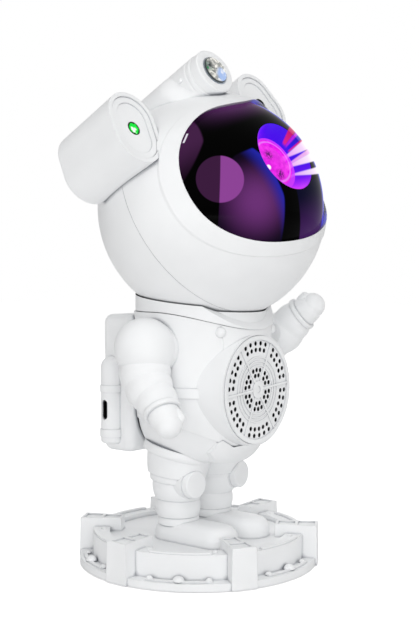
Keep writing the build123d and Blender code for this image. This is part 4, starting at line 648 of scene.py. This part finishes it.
def visor_painted_light(tree, place):
    """Painted purple reflections, painted shade and a painted glint on the dome, from the brow to the chin.
    """
    top = over_line(tree, place, *BROW_LINE, soft=7)
    brow = product(tree, top, spot(tree, place, BROW_MIDDLE, full=5, gone=30))
    colour = tint(tree, brow, "#000000", "#5a2c63")
    corner = patch(tree, place, CORNER_OUTLINE, soft=0.4)
    above = over_line(tree, place, *CORNER_FOOT, soft=9)
    colour = tint(tree, product(tree, corner, above), colour, "#432046")
    unshaded_side = over_plane(tree, place, DISC_CENTRE, SHADE_EDGE_NORMAL, soft=0.25)
    glow = tint(tree, spot(tree, place, FIELD_MIDDLE, full=1, gone=20), "#10051a", "#6b3175")
    glow = tint(tree, over_line(tree, place, *BLUE_LINE, soft=4.0), "#2226a8", glow)
    field = patch(tree, place, FIELD_OUTLINE, soft=0.5)
    colour = tint(tree, product(tree, field, unshaded_side), colour, glow)
    disc = spot(tree, place, DISC_CENTRE, full=9.5, gone=10.0)
    colour = tint(tree, disc, colour, tint(tree, unshaded_side, "#3b1b3d", "#8d4396"))
    chin = patch(tree, place, CHIN_OUTLINE, soft=0.5)
    dusk = tint(tree, over_line(tree, place, *DUSK_LINE, soft=8), "#3c1a55", "#050524")
    colour = tint(tree, chin, colour, dusk)
    edge = between(tree, over_plane(tree, place, STRIP_START, STRIP_FACING, soft=8.0), 0.0, 1.0, 0.3, 0.9)
    past_strip = over_plane(tree, place, STRIP_END, STRIP_FACING, soft=2.5)
    left_half = over_plane(tree, place, STRIP_SIDE, (1, 0, 0), soft=3.0)
    strip = product(tree, edge, calc(tree, "SUBTRACT", 1.0, past_strip), left_half)
    colour = tint(tree, strip, colour, "#3c38e0")
    return tint(tree, patch(tree, place, GLINT_OUTLINE, soft=0.12), colour, "#e8e4ee")


# ---- Projection window ----------------------------------------------------------------------
# A funnel of white ABS leads from the visor's round window to the front lens. The lamp's violet
# light is painted on its wall as a glow, and the lens glows magenta around its clear rim.
LENS_RIM = 11.0
LENS_CENTRE = (-1.7, 0.6, 41)
LENS_DENTS = ((-3.7, 3.6, 43.0), (-2.5, -5.8, 42.6))
# A painted highlight: a small white glint on the lens.
LENS_PAINTED_GLINT = (-7.4, -1.4, 42.5)
RING_INSET = 1.5        # the bright ring runs this far inside the rim
CLOUD_SIZE = 2.2
SPECKLE_SIZE = 0.8      # size of the ragged parts of the dents
HUE_LINE = ((6.9, -9.1), (-6.9, 9.1))


def tunnel_painted_light(tree, place):
    """Painted light of the lamp on the wall: magenta on the figure's right, violet in the middle, blue
    towards its upper left.
    """
    across = over_line(tree, place, *HUE_LINE, soft=15)
    warm = tint(tree, between(tree, across, 0.0, 1.0, 0.45, 0.95), "#7a16f2", "#cc2ef2")
    return tint(tree, between(tree, across, 0.0, 1.0, 0.1, 0.5), "#4400ea", warm)


def lens_light(tree, place):
    """Magenta glass with a bright rim, cloudy patches, two dark dents where light turns back, and a painted
    glint.
    """
    from_axis = distance(tree, place, *LENS_CENTRE)
    cloud = between(tree, noise(tree, CLOUD_SIZE, 4.0), 0.0, 1.0, 0.35, 0.65)
    colour = tint(tree, cloud, "#dd10de", "#fb2cf4")
    speckle = between(tree, noise(tree, SPECKLE_SIZE), 0.0, 1.0, 0.32, 0.56)
    for centre in LENS_DENTS:
        dent = calc(tree, "MULTIPLY", spot(tree, place, centre, full=0.4, gone=3.4), speckle)
        colour = tint(tree, dent, colour, "#4a0560")
    inner = calc(tree, "ABSOLUTE", calc(tree, "SUBTRACT", from_axis, LENS_RIM - RING_INSET))
    colour = tint(tree, between(tree, inner, 0.55, 0.0, 0.0, 0.8, "SMOOTHSTEP"), colour, "#e79cff")
    colour = tint(tree, spot(tree, place, LENS_PAINTED_GLINT, full=0.8, gone=1.4), colour, "#ffffff")
    rim = between(tree, from_axis, 0.0, 1.0, LENS_RIM - 0.5, LENS_RIM, "SMOOTHSTEP")
    return tint(tree, rim, colour, "#c838f2")


# The beams that leave the lens are painted on the funnel's far wall and on the visor's edge as narrow
# streaks of light. Each one is a sheet of painted light: it starts at one point of the window's plane,
# ends at another, and slants through the funnel.
WINDOW_DEPTH = 47.2
SHEET_SLANT = Vector((-1.54, -0.31, -1.0))
STREAK_REACH = 27.0     # no streak goes further to the head's left
STREAK_FADE_IN = 3.0
STREAK_FADE_OUT = 1.5
STREAK_EDGE = 0.4       # half the width over which a streak's edge fades
STREAKS = (
    # start, end, half width at each, colour at each
    ((2.0, 4.6), (18.6, 12.4), (0.7, 2.0), ("#e01898", "#b4003e")),
    ((2.4, 3.4), (19.8, 9.4), (0.4, 1.0), ("#b010e0", "#c81ae0")),
    ((2.8, 2.4), (20.8, 7.7), (0.8, 1.3), ("#3400f4", "#1306a4")),
    ((2.6, 1.3), (21.0, 5.6), (0.3, 0.5), ("#e010a0", "#d8004c")),
    ((-0.5, -0.6), (22.5, 3.2), (0.4, 2.6), ("#e88cf6", "#fdf8ff")),
    ((-1.0, -4.0), (21.5, -0.2), (0.3, 1.2), ("#e688f2", "#f3c4ee")),
    ((-3.0, -5.0), (21.5, -3.4), (0.4, 2.2), ("#ec9cf6", "#ffffff")),
    ((-3.2, -8.9), (22.0, -10.4), (0.3, 1.9), ("#dc90f6", "#ffffff")),
)


def measured(tree, place, axis, start):
    """Millimetres from a start in the face plane, along an axis of that plane."""
    made = add(tree, "ShaderNodeVectorMath", {"operation": "DOT_PRODUCT", 1: axis}, {0: place})
    return calc(tree, "SUBTRACT", made.outputs["Value"], axis.x * start[0] + axis.y * start[1])


def with_streaks(colour_of):
    """Lays the painted streaks of light over a colour."""
    def laid(tree, place):
        height = add(tree, "ShaderNodeSeparateXYZ", None, {0: place}).outputs["Z"]
        depth = calc(tree, "SUBTRACT", height, WINDOW_DEPTH)
        slide = add(tree, "ShaderNodeVectorMath", {"operation": "SCALE", 0: SHEET_SLANT}, {"Scale": depth})
        moved = {0: place, 1: slide.outputs[0]}
        flat = add(tree, "ShaderNodeVectorMath", {"operation": "SUBTRACT"}, moved).outputs[0]
        colour = colour_of(tree, place)
        out_of_reach = over_plane(tree, place, (STREAK_REACH, 0, 0), (1, 0, 0), soft=1.5)
        near = calc(tree, "SUBTRACT", 1.0, out_of_reach)
        for start, end, widths, colours in STREAKS:
            whole = Vector((end[0] - start[0], end[1] - start[1], 0))
            run = whole.normalized()
            along = measured(tree, flat, run, start)
            aside = measured(tree, flat, Vector((-run.y, run.x, 0)), start)
            part = between(tree, along, 0.0, 1.0, 0.0, whole.length)
            width = between(tree, part, *widths, 0.0, 1.0)
            inside = calc(tree, "SUBTRACT", width, calc(tree, "ABSOLUTE", aside))
            mask = between(tree, inside, 0.0, 1.0, -STREAK_EDGE, STREAK_EDGE, "SMOOTHSTEP")
            begun = between(tree, along, 0.0, 1.0, 0.0, STREAK_FADE_IN, "SMOOTHSTEP")
            gone = whole.length + STREAK_FADE_OUT
            ended = between(tree, along, 1.0, 0.0, whole.length, gone, "SMOOTHSTEP")
            colour = tint(tree, product(tree, mask, begun, ended, near), colour, tint(tree, part, *colours))
        return colour
    return laid


# White ABS with the lamp's violet light painted on it as a glow: the painted light hides its own colour.
violet_abs = lit("abs_moulded_white_with_painted_violet_light", with_streaks(tunnel_painted_light), strength=1.0, roughness=0.35)
dress(violet_abs, "light_tunnel")

# Optical acrylic: clear, lit from behind, so it shows the lamp's magenta and its own rim, and a painted glint
# lies on it.
lens_acrylic = lit("acrylic_lens_lit_magenta", lens_light, strength=1.0, roughness=0.1)
dress(lens_acrylic, "projection_lens", "condenser_lens", "ripple_glass")

# Smoked acrylic, moulded in a polished tool: nearly black and glossy, with the painted glow and painted
# reflections, a painted glint and the ends of the painted streaks on it.
smoked_acrylic = lit(
    "acrylic_moulded_smoked_with_painted_reflections", with_streaks(visor_painted_light),
    strength=1.0, roughness=0.06, base="#000000", gloss=0.035,
)
dress(smoked_acrylic, "visor")

# ---- Head lamp ------------------------------------------------------------------------------
# A round barrel on a saddle over the brow. A rounded ring closes it, a thick white bezel sits
# in front, and a cut crystal fills the bezel's hole.
dress(white_abs, "lamp_housing", "lamp_bezel")
LAMP_Y = 48.0
LAMP_RADIUS = 10.6
RING_BORE = 10.2
RING_BACK = 28.6
RING_FRONT = 32.6
RING_CORNER = 1.5
RING_STEPS = 96
CORNER_STEPS = 5
RING_SMOOTH = 40        # degrees

# The ring: a disc, extruded, bevelled and bored out.
bpy.ops.object.select_all(action="DESELECT")
bpy.ops.mesh.primitive_circle_add(
    vertices=RING_STEPS, radius=LAMP_RADIUS * MM, fill_type="NGON", location=(0, 0, RING_BACK * MM)
)
bpy.ops.object.transform_apply(location=True)
lamp_ring = bpy.context.object
lamp_ring.name = "lamp_ring"
bpy.ops.object.mode_set(mode="EDIT")
bpy.ops.mesh.select_all(action="SELECT")
bpy.ops.mesh.extrude_region_move(TRANSFORM_OT_translate={"value": (0, 0, (RING_FRONT - RING_BACK) * MM)})
bpy.ops.mesh.select_all(action="SELECT")
bpy.ops.mesh.normals_make_consistent(inside=False)
bpy.ops.object.mode_set(mode="OBJECT")
bevel = lamp_ring.modifiers.new("corner", "BEVEL")
bevel.width = RING_CORNER * MM
bevel.segments = CORNER_STEPS
bevel.limit_method = "ANGLE"
bpy.ops.object.modifier_apply(modifier="corner")
bpy.ops.mesh.primitive_cylinder_add(
    vertices=RING_STEPS, radius=RING_BORE * MM, depth=(RING_FRONT - RING_BACK + 2) * MM,
    location=(0, 0, (RING_BACK + RING_FRONT) / 2 * MM),
)
bore = bpy.context.object
bpy.context.view_layer.objects.active = lamp_ring
cut = lamp_ring.modifiers.new("bore", "BOOLEAN")
cut.object = bore
cut.solver = "EXACT"
bpy.ops.object.modifier_apply(modifier="bore")
bpy.data.objects.remove(bore)
bpy.ops.object.select_all(action="DESELECT")
lamp_ring.select_set(True)
bpy.context.view_layer.objects.active = lamp_ring
bpy.ops.object.shade_smooth_by_angle(angle=math.radians(RING_SMOOTH))
lamp_ring.data.transform(head_matrix(0, LAMP_Y, 0))
finished(lamp_ring, white_abs, "head")

# The fairing hugs the barrel up to its crown and sweeps down to the brow in front. It is a sheet,
# bent round the barrel, and it swells outwards towards its foot.
FAIRING_BACK = -13.0
FAIRING_FRONT = 31.0
FAIRING_STEPS = (64, 36)
FAIRING_REACH = 150.0   # degrees from the barrel's crown, on each side
FAIRING_WALL = 0.8
FAIRING_SUNK = 0.25     # above its edge the sheet lies this deep in the barrel
CROWN_ANGLE = 27.0      # degrees from the crown where its edge lies on the barrel
CROWN_END = 15.5        # the edge leaves the crown here and turns down
EDGE_ANGLE = 118.0      # where the edge ends, at the brow
EDGE_RISE = 0.55        # the edge stands up by this much
EDGE_SPREAD = 8.0       # degrees over which it does
FOOT_SWELL = 4.6
FOOT_SPREAD = 62.0      # degrees from the edge to the foot
BACK_RUN = 9.0          # at the back the skin rises out of the barrel over this length
FRONT_RUN = 10.0        # in front it sinks towards the barrel over this length
FRONT_REST = 3.0        # and ends this much before it is flush
FAIRING_SMOOTH = 40     # degrees


def smooth(share):
    """Eases a share of the way from 0 to 1."""
    share = min(max(share, 0.0), 1.0)
    return share * share * (3 - 2 * share)


def fairing_point(turn, along):
    """Point of the fairing's skin; turn is in degrees from the barrel's crown."""
    down = smooth((along - CROWN_END) / (FAIRING_FRONT - CROWN_END))
    past_edge = abs(turn) - (CROWN_ANGLE + (EDGE_ANGLE - CROWN_ANGLE) * down)
    rise = EDGE_RISE * smooth(past_edge / EDGE_SPREAD) + FOOT_SWELL * smooth(past_edge / FOOT_SPREAD)
    back = smooth((along - FAIRING_BACK) / BACK_RUN)
    front = smooth((FAIRING_FRONT + FRONT_REST - along) / FRONT_RUN)
    radius = LAMP_RADIUS - FAIRING_SUNK + rise * (back * front)
    angle = math.radians(turn)
    return Vector((math.sin(angle) * radius, math.cos(angle) * radius + LAMP_Y, along))


bpy.ops.object.select_all(action="DESELECT")
bpy.ops.mesh.primitive_grid_add(x_subdivisions=FAIRING_STEPS[0], y_subdivisions=FAIRING_STEPS[1], size=2)
fairing = bpy.context.object
fairing.name = "lamp_fairing"
for vertex in fairing.data.vertices:
    turn = -FAIRING_REACH * vertex.co.x
    along = FAIRING_BACK + (FAIRING_FRONT - FAIRING_BACK) * (vertex.co.y + 1) / 2
    vertex.co = fairing_point(turn, along) * MM
wall = fairing.modifiers.new("wall", "SOLIDIFY")
wall.thickness = FAIRING_WALL * MM
wall.offset = -1.0
bpy.ops.object.modifier_apply(modifier="wall")
bpy.ops.object.mode_set(mode="EDIT")
bpy.ops.mesh.select_all(action="SELECT")
bpy.ops.mesh.normals_make_consistent(inside=False)
bpy.ops.object.mode_set(mode="OBJECT")
bpy.ops.object.shade_smooth_by_angle(angle=math.radians(FAIRING_SMOOTH))
fairing.data.transform(head_matrix(0, 0, 0))
finished(fairing, white_abs, "head")

# A stub of the mould's gate is left on each side, where the fairing meets the barrel.
PIN_RADIUS = 1.0
PIN_RISE = 1.0
PIN_SUNK = 0.5
PIN_PLACE = (10.5, 50.9, 25.5)

pin_places = []
for side in (-1, 1):
    sideways = Matrix.Rotation(side * math.pi / 2, 4, "Y")
    pin_places.append(head_matrix(side * PIN_PLACE[0], PIN_PLACE[1], PIN_PLACE[2]) @ sideways)
pins = repeated(dome("fairing_pin", PIN_RADIUS, PIN_RISE, PIN_SUNK), "fairing_pins", pin_places)
finished(pins, white_abs, "head")

# The crystal: a dome of moulded acrylic, cut all over in flat facets.
CRYSTAL_RADIUS = 6.3
CRYSTAL_BACK = 34.7
CRYSTAL_RISE = 1.9
FACET = 1.1             # size of the facets that show through the dome
# Centres of the painted reflections in the facets: dark green at the upper left, pale blue below.
GREEN_SPOT = (-4.6, LAMP_Y + 2.4, 36)
PALE_SPOT = (0.8, LAMP_Y - 3.0, 36)

bpy.ops.object.select_all(action="DESELECT")
bpy.ops.mesh.primitive_ico_sphere_add(subdivisions=3, radius=CRYSTAL_RADIUS * MM)
crystal = bpy.context.object
crystal.name = "lamp_crystal_cut"
bpy.ops.object.mode_set(mode="EDIT")
bpy.ops.mesh.select_all(action="SELECT")
bpy.ops.mesh.bisect(plane_co=(0, 0, 0), plane_no=(0, 0, 1), clear_inner=True, use_fill=True)
bpy.ops.mesh.select_all(action="SELECT")
bpy.ops.transform.resize(value=(1, 1, CRYSTAL_RISE / CRYSTAL_RADIUS))
bpy.ops.object.mode_set(mode="OBJECT")
crystal.data.transform(head_matrix(0, LAMP_Y, CRYSTAL_BACK))


def flat_place(tree, place):
    """Head coordinates without the share along the line of sight."""
    return add(tree, "ShaderNodeVectorMath", {"operation": "MULTIPLY", 1: (1, 1, 0)}, {0: place}).outputs[0]


def crystal_painted_light(tree, place):
    """Painted reflections in the facets: dark green at the upper left, silver and cream above, pale blue
    below, and painted shade in a dark ring at the edge.
    """
    where = add(tree, "ShaderNodeTexCoord").outputs["Object"]
    cells = add(tree, "ShaderNodeTexVoronoi", {"Scale": 1 / (FACET * MM)}, {"Vector": where})
    pick = add(tree, "ShaderNodeSeparateColor", None, {0: cells.outputs["Color"]})
    colour = tint(tree, between(tree, pick.outputs[0], 0.0, 1.0, 0.2, 0.8), "#8f908c", "#f4f2ea")
    dark = tint(tree, between(tree, pick.outputs[1], 0.0, 1.0, 0.4, 0.5), "#1f2a26", "#8d9a92")
    green = tint(tree, between(tree, pick.outputs[2], 0.0, 1.0, 0.72, 0.78), dark, "#138a48")
    colour = tint(tree, spot(tree, place, GREEN_SPOT, full=2.0, gone=4.4), colour, green)
    pale = tint(tree, between(tree, pick.outputs[2], 0.0, 1.0, 0.7, 0.8), "#a9c3f1", "#e6ecfb")
    colour = tint(tree, spot(tree, place, PALE_SPOT, full=3.0, gone=4.8), colour, pale)
    # Painted shade: a dark ring where the crystal meets the edge of the bezel's hole.
    from_axis = distance(tree, flat_place(tree, place), 0, LAMP_Y, 0)
    rim = between(tree, from_axis, 0.0, 1.0, CRYSTAL_RADIUS - 0.7, CRYSTAL_RADIUS - 0.3, "SMOOTHSTEP")
    return tint(tree, rim, colour, "#3a3f3e")


# Clear acrylic, cut in facets: each facet carries a painted reflection, some of the room and some of the
# lamp.
cut_acrylic = lit("acrylic_faceted_with_painted_reflections", crystal_painted_light, strength=0.95, roughness=0.08, base="#202428")
finished(crystal, cut_acrylic, "head")
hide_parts("lamp_crystal")

# ---- Studio ---------------------------------------------------------------------------------
# One large softbox over the camera, one low in front, weaker ones at both sides, a large one
# behind the figure and an even white surround.
MIDDLE = (0, 0, 0.12)
FOOT = (0, 0, 0.06)
SOFTBOXES = (
    # name, place, where it points, width, height (all in metres), power in watts
    ("key_softbox", (-0.3, -0.6, 1.05), MIDDLE, 0.7, 0.7, 3.0),
    ("low_softbox", (-0.62, -0.62, 0.10), FOOT, 0.5, 0.3, 2.1),
    ("side_softbox", (-0.9, -0.1, 0.35), MIDDLE, 0.5, 0.8, 1.1),
    ("back_softbox", (0.7, 0.75, 0.6), MIDDLE, 0.8, 0.8, 5.0),
    ("left_softbox", (0.9, -0.15, 0.45), MIDDLE, 0.5, 0.8, 1.1),
)
SKY_LIGHT = 0.5         # what the surround gives the object
SKY_SEEN = 1.0          # what it shows the camera, also through glass
TABLE_SIZE = 6
TABLE_GLOW = 0.62       # what the camera sees on top of the lamps' light, so that the table is white

for name, place, aim, width, height, power in SOFTBOXES:
    lamp_data = bpy.data.lights.new(name, "AREA")
    lamp_data.shape = "RECTANGLE"
    lamp_data.size = width
    lamp_data.size_y = height
    lamp_data.energy = power
    lamp = bpy.data.objects.new(name, lamp_data)
    lamp.location = place
    lamp.visible_glossy = False
    lamp.rotation_euler = (Vector(aim) - Vector(place)).to_track_quat("-Z", "Y").to_euler()
    bpy.context.scene.collection.objects.link(lamp)

world = bpy.data.worlds.new("studio")
world.use_nodes = True
bpy.context.scene.world = world
sky = world.node_tree
path = add(sky, "ShaderNodeLightPath")
seen = calc(sky, "MAXIMUM", path.outputs["Is Camera Ray"], path.outputs["Is Transmission Ray"])
background = sky.nodes["Background"]
background.inputs["Color"].default_value = (1, 1, 1, 1)
sky.links.new(between(sky, seen, SKY_LIGHT, SKY_SEEN, 0.0, 1.0), background.inputs["Strength"])

# Painted board: plain white, without shine. It keeps the object's soft shadow.
bpy.ops.object.select_all(action="DESELECT")
bpy.ops.mesh.primitive_plane_add(size=TABLE_SIZE, location=(0, 0, 0))
table = bpy.context.object
table.name = "table_top"
backdrop, tree, surface = blank("backdrop_white")
surface.inputs["Base Color"].default_value = (0.8, 0.8, 0.8, 1)
surface.inputs["Roughness"].default_value = 1.0
surface.inputs["Specular IOR Level"].default_value = 0.0
surface.inputs["Emission Color"].default_value = (1, 1, 1, 1)
camera_ray = add(tree, "ShaderNodeLightPath").outputs["Is Camera Ray"]
tree.links.new(calc(tree, "MULTIPLY", camera_ray, TABLE_GLOW), surface.inputs["Emission Strength"])
table.data.materials.append(backdrop)
